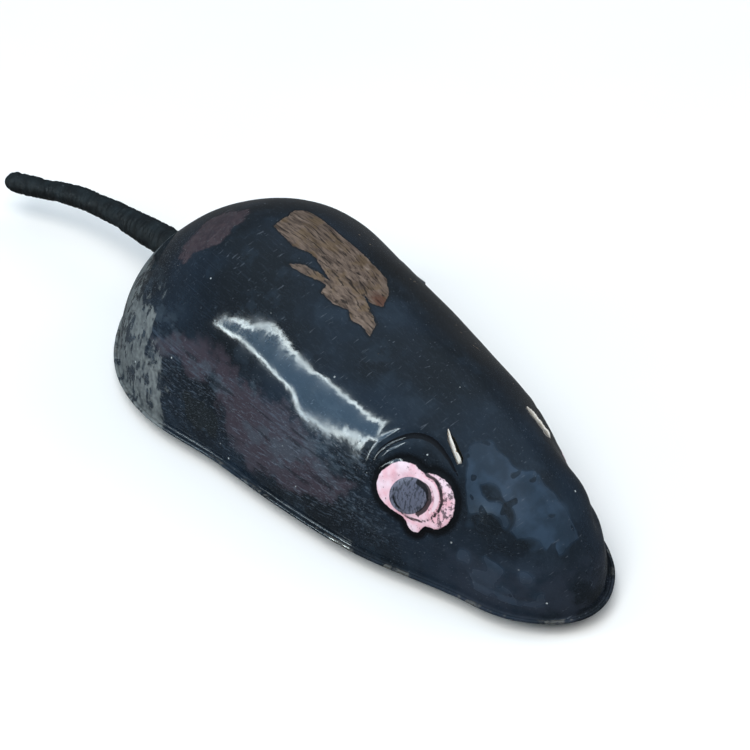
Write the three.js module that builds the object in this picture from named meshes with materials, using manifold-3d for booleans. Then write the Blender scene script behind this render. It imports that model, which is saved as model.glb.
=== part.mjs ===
// Clockwork tin mouse: a pressed tin shell over a two-plate spring motor.
// Millimetres, +Z up, nose towards -Y, the mouse's left side towards +X, ground at z = 0.
import * as THREE from 'three';
import { mergeVertices } from 'three/addons/utils/BufferGeometryUtils.js';
import Module from 'manifold-3d';

const wasm = await Module();
wasm.setup();

// ---------- driving dimensions ----------
const BODY_LENGTH = 95;
const RIM_ABOVE_GROUND = 2.5;
const TAIL_REACH = 32;
const FLANGE_WIDTH = 0.9;
const FLANGE_THICKNESS = 0.5;
const TIN = 0.4;
const PLATE = 0.8;
const GAP = 0.3;
const RUNNING_GAP = 0.15;
const SEAT_GAP = 0.03;

// The origin is midway between the nose flange and the tail tip, so the rear rim lies at REAR_Y.
const REAR_Y = (BODY_LENGTH + FLANGE_WIDTH - TAIL_REACH) / 2;

// Body sections: fraction of the length from the rear, half width and height above the rim.
const STATIONS = [
  [0.05, 11.5, 11.5],
  [0.14, 18.4, 19.5],
  [0.25, 21.1, 25.3],
  [0.40, 19.4, 26.6],
  [0.55, 18.1, 23.4],
  [0.70, 15.8, 22.4],
  [0.85, 11.0, 18.8],
  [0.95, 7.4, 11.6],
];
const SECTION_POWER = 1.9;
const SPINE = [0.18, 0.93];

// Gear train: teeth, module and the three arbors, as distance from the rear rim and height above it.
const MODULE = 0.5;
const PRESSURE_ANGLE = THREE.MathUtils.degToRad(22.5);
const BACKLASH = 0.16;
const ADDENDUM = 0.42;
const DEDENDUM = 0.68;
const GREAT_TEETH = 44;
const WHEEL_TEETH = 30;
const PINION_TEETH = 10;
const AXLE = { u: 20, h: 5.5 };
const GREAT = { u: 38, h: 12 };
const FIRST_CENTRES = MODULE * (GREAT_TEETH + PINION_TEETH) / 2;
const SECOND_CENTRES = MODULE * (WHEEL_TEETH + PINION_TEETH) / 2;
const MIDDLE = meetingPoint(GREAT, FIRST_CENTRES, AXLE, SECOND_CENTRES);

// Motor frame and its layers along x.
const PLATE_INNER = 7.2;
const PLATE_OUTER = PLATE_INNER + PLATE;
const GREAT_LAYER = [-5.6, -4.8];
const RATCHET_LAYER = [-4.5, -3.7];
const FIRST_PINION_LAYER = [-6.4, -4.0];
const SPRING_LAYER = [-2.6, 4.0];
const WHEEL_LAYER = [5.3, 6.1];
const AXLE_PINION_LAYER = [4.7, 6.7];
const ARBOR_RADIUS = 1.6;
const ARBOR_SHOULDER_RADIUS = 1.4;
const ARBOR_SHOULDER_END_X = 9.4;
const PIVOT_RADIUS = 0.75;
const PIVOT_END_X = 8.3;
const MIDDLE_ARBOR_RADIUS = 1.0;
const AXLE_RADIUS = 0.9;
const SQUARE = 2.4;
const SQUARE_X = [9, 17.2];
const KEYHOLE_RADIUS = 3.4;
const PILLAR_RADIUS = 1.1;
const PILLAR_TENON = 0.7;
const TAB_LENGTH = 3;
const PILLARS = {
  rear_top_pillar: { u: 13.5, h: 12.3 },
  rear_bottom_pillar: { u: 11.2, h: 4.2 },
  front_top_pillar: { u: 50, h: 18 },
  spring_pillar: { u: 49, h: 4.7 },
};

// Ratchet, click and mainspring; the click's eye lies at an angle and a radius about the winding arbor.
const RATCHET_TEETH = 12;
const RATCHET_RADII = [3.1, 4.0];
const CLICK_ANGLE = THREE.MathUtils.degToRad(200);
const CLICK_RIVET_RADIUS = 7.8;
const CLICK_RIVET = 0.5;
const CLICK_EYE = 1.1;
const CLICK_LEAF = 0.45;
const SPRING = { turns: 5.5, inner: ARBOR_RADIUS + 0.6, outer: 9.4, thickness: 0.4 };

// Straps, wheels and the front arm.
const STRAP_BOTTOM = 0.1;
const STRAP_TOP = STRAP_BOTTOM + PLATE;
const REAR_STRAP = { u: 9, width: 5, half: 11.9, lug: 3.5 };
const FRONT_STRAP = { u: 49.5, width: 6, half: 16.9, lug: 4.5 };
const DRIVE_WHEEL_RADIUS = 8;
const DRIVE_WHEEL_X = [10.4, 13.4];
const TYRE_DEPTH = 1.5;
const FRONT_WHEEL_RADIUS = 4.5;
const FRONT_WHEEL_U = 76;
const FRONT_WHEEL_HALF_WIDTH = 1.8;
const FRONT_WHEEL = { u: FRONT_WHEEL_U, h: FRONT_WHEEL_RADIUS - RIM_ABOVE_GROUND };
const FORK_INNER = FRONT_WHEEL_HALF_WIDTH + 0.35;
const FORK_OUTER = FORK_INNER + PLATE;
const FRONT_PIN = 0.8;
const ARM_BOTTOM = STRAP_TOP + SEAT_GAP;
const ARM_RIVET = 0.8;

// Ears and tail. The tail's centre line gives sideways, distance behind the rear rim (negative is inside)
// and height above the rim; its radii go with the distance along that line.
const EAR_SLOT = { length: 4.4, width: 0.9, lean: 0.23 };
const EAR_PLACES = { left: { u: 76, x: 7.3 }, right: { u: 74.9, x: 5.9 } };
const EAR_HEIGHT = 2.6;
const EAR_PROUD = 0.3;
const TAIL_NECK = 1.5;
const TAIL_PATH = [
  new THREE.Vector3(-1.0, -5.2, 7.0),
  new THREE.Vector3(-1.0, -1.5, 7.0),
  new THREE.Vector3(-1.6, 4.5, 6.7),
  new THREE.Vector3(-2.2, 11.5, 6.1),
  new THREE.Vector3(-3.5, 18.5, 5.5),
  new THREE.Vector3(-6.0, 25.0, 4.8),
  new THREE.Vector3(-8.8, TAIL_REACH - 0.25, 4.0),
];
const TAIL_RADII = [
  [0, 1.9], [0.4, 2.6], [1.3, 2.6], [1.35, TAIL_NECK], [4.75, TAIL_NECK], [4.8, 2.3], [7, 2.3],
  [12, 1.95], [18, 1.7], [25, 1.6], [32, 1.5], [35, 1.5], [36.6, 1.6], [38, 1.25], [38.6, 0.6],
];

const COLOURS = {
  enamel: [0x10161d, 0.22, 0.1],
  tinplate: [0xa9a9a2, 0.38, 0.9],
  steel: [0x8d9094, 0.35, 1.0],
  blued: [0x2c3442, 0.3, 1.0],
  brass: [0xb6934a, 0.35, 1.0],
  rubber: [0x16181b, 0.7, 0.0],
  leather: [0xd9cfc0, 0.85, 0.0],
};

const AXIS = new THREE.Vector2(0, 0);

// ---------- helpers ----------
function meetingPoint(a, ra, b, rb) {
  const du = b.u - a.u;
  const dh = b.h - a.h;
  const d = Math.hypot(du, dh);
  const along = (ra * ra - rb * rb + d * d) / (2 * d);
  const across = Math.sqrt(ra * ra - along * along);
  const u = a.u + (du * along + dh * across) / d;
  const h = a.h + (dh * along - du * across) / d;
  return { u, h };
}

// Frame position of a place given by distance from the rear rim and height above the rim.
function yOf(place) {
  return REAR_Y - place.u;
}

function zOf(place) {
  return RIM_ABOVE_GROUND + place.h;
}

function named(name, geometry, look) {
  const [color, roughness, metalness] = COLOURS[look];
  const mesh = new THREE.Mesh(geometry, new THREE.MeshStandardMaterial({ color, roughness, metalness }));
  mesh.name = name;
  return mesh;
}

function place(mesh, spot, x = 0) {
  mesh.position.set(x, yOf(spot), zOf(spot));
  return mesh;
}

function toManifold(geometry) {
  const bare = geometry.clone();
  bare.deleteAttribute('normal');
  bare.deleteAttribute('uv');
  const merged = mergeVertices(bare, 1e-5);
  const vertProperties = new Float32Array(merged.attributes.position.array);
  const triVerts = new Uint32Array(merged.index.array);
  return new wasm.Manifold(new wasm.Mesh({ numProp: 3, vertProperties, triVerts }));
}

function fromManifold(solid) {
  const mesh = solid.getMesh();
  const geometry = new THREE.BufferGeometry();
  geometry.setAttribute('position', new THREE.BufferAttribute(new Float32Array(mesh.vertProperties), 3));
  geometry.setIndex(new THREE.BufferAttribute(new Uint32Array(mesh.triVerts), 1));
  geometry.computeVertexNormals();
  return geometry;
}

function cut(geometry, ...tools) {
  return fromManifold(tools.reduce((solid, tool) => solid.subtract(toManifold(tool)), toManifold(geometry)));
}

function join(geometry, ...others) {
  return fromManifold(others.reduce((solid, other) => solid.add(toManifold(other)), toManifold(geometry)));
}

function indexed(points, triangles) {
  const geometry = new THREE.BufferGeometry();
  const numbers = points.flatMap((p) => [p.x, p.y, p.z]);
  geometry.setAttribute('position', new THREE.Float32BufferAttribute(numbers, 3));
  geometry.setIndex(triangles);
  geometry.computeVertexNormals();
  return geometry;
}

// A flat outline in the y-z plane: its local axes are turned so that the extrusion runs along x.
function sideExtrude(shape, [from, to]) {
  const geometry = new THREE.ExtrudeGeometry(shape, { depth: to - from, bevelEnabled: false });
  geometry.rotateY(Math.PI / 2);
  geometry.translate(from, 0, 0);
  return geometry;
}

// Local point of a side outline at an angle measured from +Y towards +Z.
function sidePolar(radius, angle) {
  return new THREE.Vector2(-radius * Math.sin(angle), radius * Math.cos(angle));
}

// Local point of a side outline for a place beside the chassis, measured from the rear rim.
function sidePoint(u, h) {
  return new THREE.Vector2(-h, -u);
}

function circle(centre, radius, sides = 20) {
  return Array.from({ length: sides }, (_, k) => {
    const angle = (2 * Math.PI * k) / sides;
    return new THREE.Vector2(centre.x + radius * Math.cos(angle), centre.y + radius * Math.sin(angle));
  });
}

function roundHole(centre, radius) {
  return new THREE.Path(circle(centre, radius));
}

function sideHole(spot, radius) {
  return roundHole(sidePoint(spot.u, spot.h), radius);
}

// A turned piece about the x axis: the profile is a list of (x, radius) pairs.
function turned(profile, segments = 16) {
  const outline = profile.map(([x, radius]) => new THREE.Vector2(radius, x));
  const geometry = new THREE.LatheGeometry(outline, segments);
  geometry.rotateZ(-Math.PI / 2);
  return geometry;
}

function turnedRing(profile, segments) {
  return turned([...profile, profile[0]], segments);
}

// ---------- body surface ----------
function roundEnds(s) {
  return 2 * Math.sqrt(Math.max(s * (1 - s), 0));
}

// Smooth curve through the stations of one column, with the round ends taken out and put back.
function sectionValue(s, column) {
  const knots = STATIONS.map((row) => [row[0], row[column] / roundEnds(row[0])]);
  const last = knots.length - 1;
  if (s <= knots[0][0]) return knots[0][1] * roundEnds(s);
  if (s >= knots[last][0]) return knots[last][1] * roundEnds(s);
  const i = knots.findIndex((knot) => knot[0] > s) - 1;
  const slope = (k) => {
    if (k === 0 || k === last) return 0;
    return (knots[k + 1][1] - knots[k - 1][1]) / (knots[k + 1][0] - knots[k - 1][0]);
  };
  const span = knots[i + 1][0] - knots[i][0];
  const t = (s - knots[i][0]) / span;
  const rise = (1 + 2 * t) * (1 - t) ** 2 * knots[i][1] + t * t * (3 - 2 * t) * knots[i + 1][1];
  const bend = t * (1 - t) ** 2 * slope(i) * span + t * t * (t - 1) * slope(i + 1) * span;
  return (rise + bend) * roundEnds(s);
}

function surfaceHeight(u, x) {
  const s = u / BODY_LENGTH;
  const half = sectionValue(s, 1);
  if (half <= 0) return 0;
  const across = Math.min(Math.abs(x) / half, 1);
  return sectionValue(s, 2) * (1 - across ** SECTION_POWER) ** (1 / SECTION_POWER);
}

// Outward normal, from the slope of (x / half width)^p + (height / section height)^p.
function surfaceNormal(u, x, height) {
  const step = 0.02;
  const value = (uu, xx, hh) => {
    const half = sectionValue(uu / BODY_LENGTH, 1);
    const top = sectionValue(uu / BODY_LENGTH, 2);
    return (Math.abs(xx) / half) ** SECTION_POWER + (Math.abs(hh) / top) ** SECTION_POWER;
  };
  const at = THREE.MathUtils.clamp(u, 2 * step, BODY_LENGTH - 2 * step);
  const alongX = value(at, x + step, height) - value(at, x - step, height);
  const alongU = value(at + step, x, height) - value(at - step, x, height);
  const upwards = value(at, x, height + step) - value(at, x, height - step);
  return new THREE.Vector3(alongX, -alongU, upwards).normalize();
}

function rimLoop(count) {
  const half = count / 2;
  return Array.from({ length: count }, (_, k) => {
    const along = k <= half ? k / half : 2 - k / half;
    const s = (1 - Math.cos(Math.PI * along)) / 2;
    const side = k <= half ? 1 : -1;
    return new THREE.Vector2(side * sectionValue(s, 1), REAR_Y - s * BODY_LENGTH);
  });
}

function offsetLoop(loop, distance) {
  return loop.map((point, k) => {
    const before = loop.at(k - 1);
    const after = loop[(k + 1) % loop.length];
    const along = after.clone().sub(before).normalize();
    return new THREE.Vector2(point.x - along.y * distance, point.y + along.x * distance);
  });
}

// Rows of points from the rim up to the spine of the back.
function domeRows(loop, rings) {
  const rows = [];
  for (let j = 0; j <= rings; j += 1) {
    const spread = Math.cos((Math.PI / 2) * (j / rings)) ** (2 / SECTION_POWER);
    rows.push(loop.map((point) => {
      const u = REAR_Y - point.y;
      const spineU = THREE.MathUtils.clamp(u, SPINE[0] * BODY_LENGTH, SPINE[1] * BODY_LENGTH);
      const newU = j === rings ? spineU : spineU + (u - spineU) * spread;
      const x = j === rings ? 0 : point.x * spread;
      const height = j === 0 ? FLANGE_THICKNESS : Math.max(surfaceHeight(newU, x), FLANGE_THICKNESS);
      return new THREE.Vector3(x, REAR_Y - newU, RIM_ABOVE_GROUND + height);
    }));
  }
  return rows;
}

function joinRows(rows, flip) {
  const count = rows[0].length;
  const triangles = [];
  for (let j = 0; j + 1 < rows.length; j += 1) {
    for (let k = 0; k < count; k += 1) {
      const next = (k + 1) % count;
      const quad = [j * count + k, j * count + next, (j + 1) * count + next, (j + 1) * count + k];
      const order = flip ? [0, 2, 1, 0, 3, 2] : [0, 1, 2, 0, 2, 3];
      triangles.push(...order.map((corner) => quad[corner]));
    }
  }
  return indexed(rows.flat(), triangles);
}

function withoutSlivers(geometry) {
  const merged = mergeVertices(geometry, 1e-4);
  const kept = [];
  for (let i = 0; i < merged.index.count; i += 3) {
    const [a, b, c] = [0, 1, 2].map((n) => merged.index.getX(i + n));
    if (a !== b && b !== c && c !== a) kept.push(a, b, c);
  }
  merged.setIndex(kept);
  merged.computeVertexNormals();
  return merged;
}

// Inner wall: every outer point moved inwards by the sheet's thickness along its normal.
function innerRows(rows) {
  return rows.map((row) => row.map((point) => {
    const normal = surfaceNormal(REAR_Y - point.y, point.x, point.z - RIM_ABOVE_GROUND);
    return point.clone().addScaledVector(normal, -TIN);
  }));
}

function shellGeometry() {
  const loop = rimLoop(56);
  const outer = domeRows(loop, 12);
  const inner = innerRows(outer);
  const flat = (ring, height) => ring.map((p) => new THREE.Vector3(p.x, p.y, RIM_ABOVE_GROUND + height));
  const lip = offsetLoop(loop, FLANGE_WIDTH);
  const innerFoot = inner[0].map((p) => new THREE.Vector3(p.x, p.y, RIM_ABOVE_GROUND));
  const rows = [
    ...[...inner].reverse(),
    innerFoot,
    flat(lip, 0),
    flat(lip, FLANGE_THICKNESS),
    ...outer,
  ];
  const closed = joinRows(rows, true);
  closed.deleteAttribute('normal');
  return withoutSlivers(closed);
}

function earSlotCutter(side) {
  const { u, x } = EAR_PLACES[side > 0 ? 'left' : 'right'];
  const { length, width, lean } = EAR_SLOT;
  const cutter = new THREE.BoxGeometry(width, length, 12);
  cutter.rotateZ(side * lean);
  cutter.translate(side * x, REAR_Y - u, RIM_ABOVE_GROUND + 19);
  return cutter;
}

function bodyShell() {
  const keyhole = new THREE.CylinderGeometry(KEYHOLE_RADIUS, KEYHOLE_RADIUS, 16, 24);
  keyhole.rotateZ(Math.PI / 2);
  keyhole.translate(18, yOf(GREAT), zOf(GREAT));
  const tailHole = new THREE.CylinderGeometry(TAIL_NECK + GAP, TAIL_NECK + GAP, 12, 16);
  tailHole.translate(TAIL_PATH[1].x, REAR_Y, RIM_ABOVE_GROUND + TAIL_PATH[1].z);
  const pierced = cut(shellGeometry(), keyhole, tailHole, earSlotCutter(1), earSlotCutter(-1));
  return named('body_shell', pierced, 'enamel');
}

// ---------- tail and ears ----------
function tail() {
  const points = TAIL_PATH.map((p) => new THREE.Vector3(p.x, REAR_Y + p.y, RIM_ABOVE_GROUND + p.z));
  const curve = new THREE.CatmullRomCurve3(points, false, 'centripetal');
  const sides = 12;
  const reach = TAIL_RADII.at(-1)[0];
  const rings = TAIL_RADII.map(([distance, radius]) => {
    const t = distance / reach;
    const centre = curve.getPointAt(t);
    const along = curve.getTangentAt(t);
    const across = new THREE.Vector3().crossVectors(along, new THREE.Vector3(0, 0, 1)).normalize();
    const up = new THREE.Vector3().crossVectors(across, along);
    return Array.from({ length: sides }, (_, k) => {
      const angle = (2 * Math.PI * k) / sides;
      return centre.clone()
        .addScaledVector(across, radius * Math.cos(angle))
        .addScaledVector(up, radius * Math.sin(angle));
    });
  });
  const tips = [0, 1].map((t) => Array.from({ length: sides }, () => curve.getPointAt(t)));
  const geometry = joinRows([tips[0], ...rings, tips[1]], true);
  geometry.deleteAttribute('normal');
  return named('tail', withoutSlivers(geometry), 'rubber');
}

function earStub(side, name) {
  const { u, x } = EAR_PLACES[side > 0 ? 'left' : 'right'];
  const { length, width, lean } = EAR_SLOT;
  const geometry = new THREE.BoxGeometry(width - 2 * GAP + 0.1, length - 2 * GAP, EAR_HEIGHT);
  geometry.rotateZ(side * lean);
  const top = surfaceHeight(u, x) + EAR_PROUD;
  geometry.translate(side * x, REAR_Y - u, RIM_ABOVE_GROUND + top - EAR_HEIGHT / 2);
  return named(name, geometry, 'leather');
}

// ---------- gears ----------
function involute(angle) {
  return Math.tan(angle) - angle;
}

function gearShape(teeth, toothAngle, boreRadius) {
  const pitch = MODULE * teeth / 2;
  const base = pitch * Math.cos(PRESSURE_ANGLE);
  const root = pitch - DEDENDUM;
  const tip = pitch + ADDENDUM;
  const halfTooth = (Math.PI * MODULE / 2 - BACKLASH) / (2 * pitch);
  const halfAngle = (r) => {
    const pressure = Math.acos(Math.min(base / Math.max(r, base), 1));
    return halfTooth + involute(PRESSURE_ANGLE) - involute(pressure);
  };
  const radii = base > root ? [root, base, (pitch + tip) / 2, tip] : [root, pitch, tip];
  const outline = [];
  for (let k = 0; k < teeth; k += 1) {
    const centre = toothAngle + (2 * Math.PI * k) / teeth;
    radii.forEach((r) => outline.push(sidePolar(r, centre - halfAngle(r))));
    [...radii].reverse().forEach((r) => outline.push(sidePolar(r, centre + halfAngle(r))));
  }
  const shape = new THREE.Shape(outline);
  shape.holes.push(roundHole(AXIS, boreRadius));
  return shape;
}

// Angle in the y-z plane from one arbor to another, measured from +Y towards +Z.
function bearing(from, to) {
  return Math.atan2(to.h - from.h, -(to.u - from.u));
}

function greatWheel() {
  const toothAngle = bearing(GREAT, MIDDLE) + Math.PI / GREAT_TEETH;
  const shape = gearShape(GREAT_TEETH, toothAngle, ARBOR_RADIUS + RUNNING_GAP);
  shape.holes.push(roundHole(sidePolar(CLICK_RIVET_RADIUS, CLICK_ANGLE), CLICK_RIVET + SEAT_GAP));
  return place(named('great_wheel', sideExtrude(shape, GREAT_LAYER), 'brass'), GREAT);
}

function middlePinion() {
  const shape = gearShape(PINION_TEETH, bearing(MIDDLE, GREAT), MIDDLE_ARBOR_RADIUS + SEAT_GAP);
  return place(named('intermediate_pinion', sideExtrude(shape, FIRST_PINION_LAYER), 'steel'), MIDDLE);
}

function middleWheel() {
  const toothAngle = bearing(MIDDLE, AXLE) + Math.PI / WHEEL_TEETH;
  const shape = gearShape(WHEEL_TEETH, toothAngle, MIDDLE_ARBOR_RADIUS + SEAT_GAP);
  return place(named('intermediate_wheel', sideExtrude(shape, WHEEL_LAYER), 'brass'), MIDDLE);
}

function axlePinion() {
  const shape = gearShape(PINION_TEETH, bearing(AXLE, MIDDLE), AXLE_RADIUS + SEAT_GAP);
  return place(named('axle_pinion', sideExtrude(shape, AXLE_PINION_LAYER), 'steel'), AXLE);
}

// ---------- winding arbor, ratchet and click ----------
function windingArbor() {
  const shoulder = PLATE_INNER - 0.2;
  const shaft = turned([
    [-PIVOT_END_X, 0], [-PIVOT_END_X, PIVOT_RADIUS], [-shoulder, PIVOT_RADIUS], [-shoulder, ARBOR_RADIUS],
    [shoulder, ARBOR_RADIUS], [shoulder, ARBOR_SHOULDER_RADIUS],
    [ARBOR_SHOULDER_END_X, ARBOR_SHOULDER_RADIUS], [ARBOR_SHOULDER_END_X, 0],
  ]);
  const [from, to] = SQUARE_X;
  const squareEnd = new THREE.BoxGeometry(to - from, SQUARE, SQUARE);
  squareEnd.translate((from + to) / 2, 0, 0);
  return place(named('winding_arbor', join(shaft, squareEnd), 'steel'), GREAT);
}

function ratchetWheel() {
  const [low, high] = RATCHET_RADII;
  const step = (2 * Math.PI) / RATCHET_TEETH;
  const outline = [];
  for (let k = 0; k < RATCHET_TEETH; k += 1) {
    outline.push(sidePolar(low, k * step));
    outline.push(sidePolar(high, (k + 0.92) * step));
  }
  const shape = new THREE.Shape(outline);
  shape.holes.push(roundHole(AXIS, ARBOR_RADIUS + SEAT_GAP));
  return place(named('ratchet_wheel', sideExtrude(shape, RATCHET_LAYER), 'steel'), GREAT);
}

function clickSpring() {
  const eye = sidePolar(CLICK_RIVET_RADIUS, CLICK_ANGLE);
  const tipAngle = CLICK_ANGLE - 1.35;
  const arm = new THREE.CatmullRomCurve3([
    sidePolar(CLICK_RIVET_RADIUS, CLICK_ANGLE - 0.1),
    sidePolar(CLICK_RIVET_RADIUS - 0.3, CLICK_ANGLE - 0.55),
    sidePolar(6.4, CLICK_ANGLE - 1.0),
    sidePolar(4.75, tipAngle),
  ].map((p) => new THREE.Vector3(p.x, p.y, 0)));
  const leaf = ribbonShape(arm.getPoints(10), CLICK_LEAF);
  const ring = sideExtrude(new THREE.Shape(circle(eye, CLICK_EYE, 16)), RATCHET_LAYER);
  const hole = new THREE.Shape(circle(eye, CLICK_RIVET + SEAT_GAP, 16));
  const drill = sideExtrude(hole, [RATCHET_LAYER[0] - 1, RATCHET_LAYER[1] + 1]);
  const body = cut(join(ring, sideExtrude(leaf, RATCHET_LAYER)), drill);
  return place(named('click_spring', body, 'blued'), GREAT);
}

function clickRivet() {
  const back = GREAT_LAYER[0];
  const front = RATCHET_LAYER[1];
  const geometry = turned([
    [back - 0.4, 0], [back - 0.4, 0.7], [back - SEAT_GAP, 0.9], [back - SEAT_GAP, CLICK_RIVET],
    [front + SEAT_GAP, CLICK_RIVET], [front + SEAT_GAP, 0.85], [front + 0.4, 0.6], [front + 0.4, 0],
  ], 10);
  const y = CLICK_RIVET_RADIUS * Math.cos(CLICK_ANGLE);
  const z = CLICK_RIVET_RADIUS * Math.sin(CLICK_ANGLE);
  geometry.translate(0, y, z);
  return place(named('click_rivet', geometry, 'brass'), GREAT);
}

// ---------- mainspring ----------
function ribbonShape(points, thickness) {
  const left = [];
  const right = [];
  points.forEach((point, i) => {
    const before = points[Math.max(i - 1, 0)];
    const after = points[Math.min(i + 1, points.length - 1)];
    const along = new THREE.Vector2(after.x - before.x, after.y - before.y).normalize();
    left.push(new THREE.Vector2(point.x - along.y * thickness / 2, point.y + along.x * thickness / 2));
    right.push(new THREE.Vector2(point.x + along.y * thickness / 2, point.y - along.x * thickness / 2));
  });
  return new THREE.Shape([...left, ...right.reverse()]);
}

// The ribbon winds out from the arbor and ends in a hook round the spring pillar.
function mainspring() {
  const { turns, inner, outer, thickness } = SPRING;
  const pillarSpot = PILLARS.spring_pillar;
  const end = bearing(GREAT, pillarSpot);
  const steps = turns * 16;
  const points = Array.from({ length: steps + 1 }, (_, i) => {
    const angle = end - 0.5 - (turns * 2 * Math.PI * (steps - i)) / steps;
    return sidePolar(inner + ((outer - inner) * i) / steps, angle);
  });
  const reach = Math.hypot(pillarSpot.u - GREAT.u, pillarSpot.h - GREAT.h);
  const hook = [[-2.2, -0.2], [-1.7, 0], [-1.2, 0.11], [0.2, 0.14]];
  hook.forEach(([out, turn]) => points.push(sidePolar(reach + out, end + turn)));
  const ribbon = sideExtrude(ribbonShape(points, thickness), SPRING_LAYER);
  return place(named('mainspring', ribbon, 'blued'), GREAT);
}

// ---------- motor frame ----------
function sidePlate(side, name) {
  const outline = [
    [6.5, 1.0], [53, 1.0], [53.5, 19], [48, 20.3], [38, 17.5], [28, 19.2], [21, 18.6], [14, 15.2], [9, 10.5],
    [6.5, 6],
  ];
  const shape = new THREE.Shape(outline.map(([u, h]) => sidePoint(u, h)));
  Object.values(PILLARS).forEach((spot) => shape.holes.push(sideHole(spot, PILLAR_TENON + SEAT_GAP + 0.05)));
  const arborHole = side > 0 ? ARBOR_SHOULDER_RADIUS : PIVOT_RADIUS;
  shape.holes.push(sideHole(GREAT, arborHole + RUNNING_GAP));
  shape.holes.push(sideHole(MIDDLE, PIVOT_RADIUS + RUNNING_GAP));
  shape.holes.push(sideHole(AXLE, AXLE_RADIUS + RUNNING_GAP));
  const layer = side > 0 ? [PLATE_INNER, PLATE_OUTER] : [-PLATE_OUTER, -PLATE_INNER];
  const tabs = [REAR_STRAP.u, FRONT_STRAP.u].map((u) => {
    const tab = new THREE.BoxGeometry(PLATE, TAB_LENGTH, 1.9);
    tab.translate(side * (PLATE_INNER + PLATE / 2), -u, 0.45);
    return tab;
  });
  const geometry = join(sideExtrude(shape, layer), ...tabs);
  geometry.translate(0, REAR_Y, RIM_ABOVE_GROUND);
  return named(name, geometry, 'tinplate');
}

function pillar(name, spot) {
  const face = PLATE_INNER - SEAT_GAP;
  const back = PLATE_OUTER + SEAT_GAP;
  const geometry = turned([
    [-back - 0.6, 0], [-back - 0.6, 0.8], [-back, 1.2], [-back, PILLAR_TENON], [-face, PILLAR_TENON],
    [-face, PILLAR_RADIUS], [face, PILLAR_RADIUS], [face, PILLAR_TENON], [back, PILLAR_TENON], [back, 1.2],
    [back + 0.6, 0.8], [back + 0.6, 0],
  ], 12);
  return place(named(name, geometry, 'steel'), spot);
}

// A strap across the shell with an upturned lug at each end and slots for the plates' tabs.
function crossStrap(name, { u, width, half, lug }, extraHoles = []) {
  const outline = new THREE.Shape();
  outline.moveTo(-half, STRAP_BOTTOM);
  outline.lineTo(half, STRAP_BOTTOM);
  outline.lineTo(half, STRAP_BOTTOM + lug);
  outline.lineTo(half - PLATE, STRAP_BOTTOM + lug);
  outline.lineTo(half - PLATE, STRAP_TOP);
  outline.lineTo(PLATE - half, STRAP_TOP);
  outline.lineTo(PLATE - half, STRAP_BOTTOM + lug);
  outline.lineTo(-half, STRAP_BOTTOM + lug);
  const geometry = new THREE.ExtrudeGeometry(outline, { depth: width, bevelEnabled: false });
  geometry.rotateX(Math.PI / 2);
  geometry.translate(0, width / 2, 0);
  const slots = [-1, 1].map((side) => {
    const slot = new THREE.BoxGeometry(PLATE + 2 * RUNNING_GAP, TAB_LENGTH + 2 * RUNNING_GAP, 4);
    slot.translate(side * (PLATE_INNER + PLATE / 2), 0, 0);
    return slot;
  });
  const pierced = cut(geometry, ...slots, ...extraHoles);
  pierced.translate(0, REAR_Y - u, RIM_ABOVE_GROUND);
  return named(name, pierced, 'tinplate');
}

// ---------- drive axle and wheels ----------
function middleArbor() {
  const shoulder = PLATE_INNER - 0.25;
  const geometry = turned([
    [-PIVOT_END_X, 0], [-PIVOT_END_X, PIVOT_RADIUS], [-shoulder, PIVOT_RADIUS],
    [-shoulder, MIDDLE_ARBOR_RADIUS], [shoulder, MIDDLE_ARBOR_RADIUS], [shoulder, PIVOT_RADIUS],
    [PIVOT_END_X, PIVOT_RADIUS], [PIVOT_END_X, 0],
  ], 12);
  return place(named('intermediate_arbor', geometry, 'steel'), MIDDLE);
}

function driveAxle() {
  const end = DRIVE_WHEEL_X[1] + 0.9;
  const geometry = turned([
    [-end, 0], [-end, 0.6], [-end + 0.3, AXLE_RADIUS], [end - 0.3, AXLE_RADIUS], [end, 0.6], [end, 0],
  ], 12);
  return place(named('drive_axle', geometry, 'steel'), AXLE);
}

// Pressed disc wheel: boss, dished web and a grooved rim that holds the tyre.
function driveWheel(side, name) {
  const [from, to] = DRIVE_WHEEL_X;
  const rim = DRIVE_WHEEL_RADIUS - TYRE_DEPTH - SEAT_GAP;
  const bore = AXLE_RADIUS + SEAT_GAP;
  const profile = [
    [from - 0.4, bore], [from - 0.4, 2.2], [from + 0.9, 2.2], [from + 1.3, 4.6], [from, 5.4], [from, rim],
    [to, rim], [to, 5.6], [to - 0.9, 4.6], [to - 1.2, 2.2], [to + 0.3, 2.0], [to + 0.3, bore],
  ];
  const geometry = turnedRing(profile.map(([x, radius]) => [side * x, radius]), 24);
  return place(named(name, facingOut(geometry), 'tinplate'), AXLE);
}

function driveTyre(side, name) {
  const [from, to] = DRIVE_WHEEL_X;
  const low = DRIVE_WHEEL_RADIUS - TYRE_DEPTH;
  const profile = [
    [from, low], [from, DRIVE_WHEEL_RADIUS - 0.5], [from + 0.5, DRIVE_WHEEL_RADIUS],
    [to - 0.5, DRIVE_WHEEL_RADIUS], [to, DRIVE_WHEEL_RADIUS - 0.5], [to, low],
  ];
  const geometry = turnedRing(profile.map(([x, radius]) => [side * x, radius]), 32);
  return place(named(name, facingOut(geometry), 'rubber'), AXLE);
}

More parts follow.
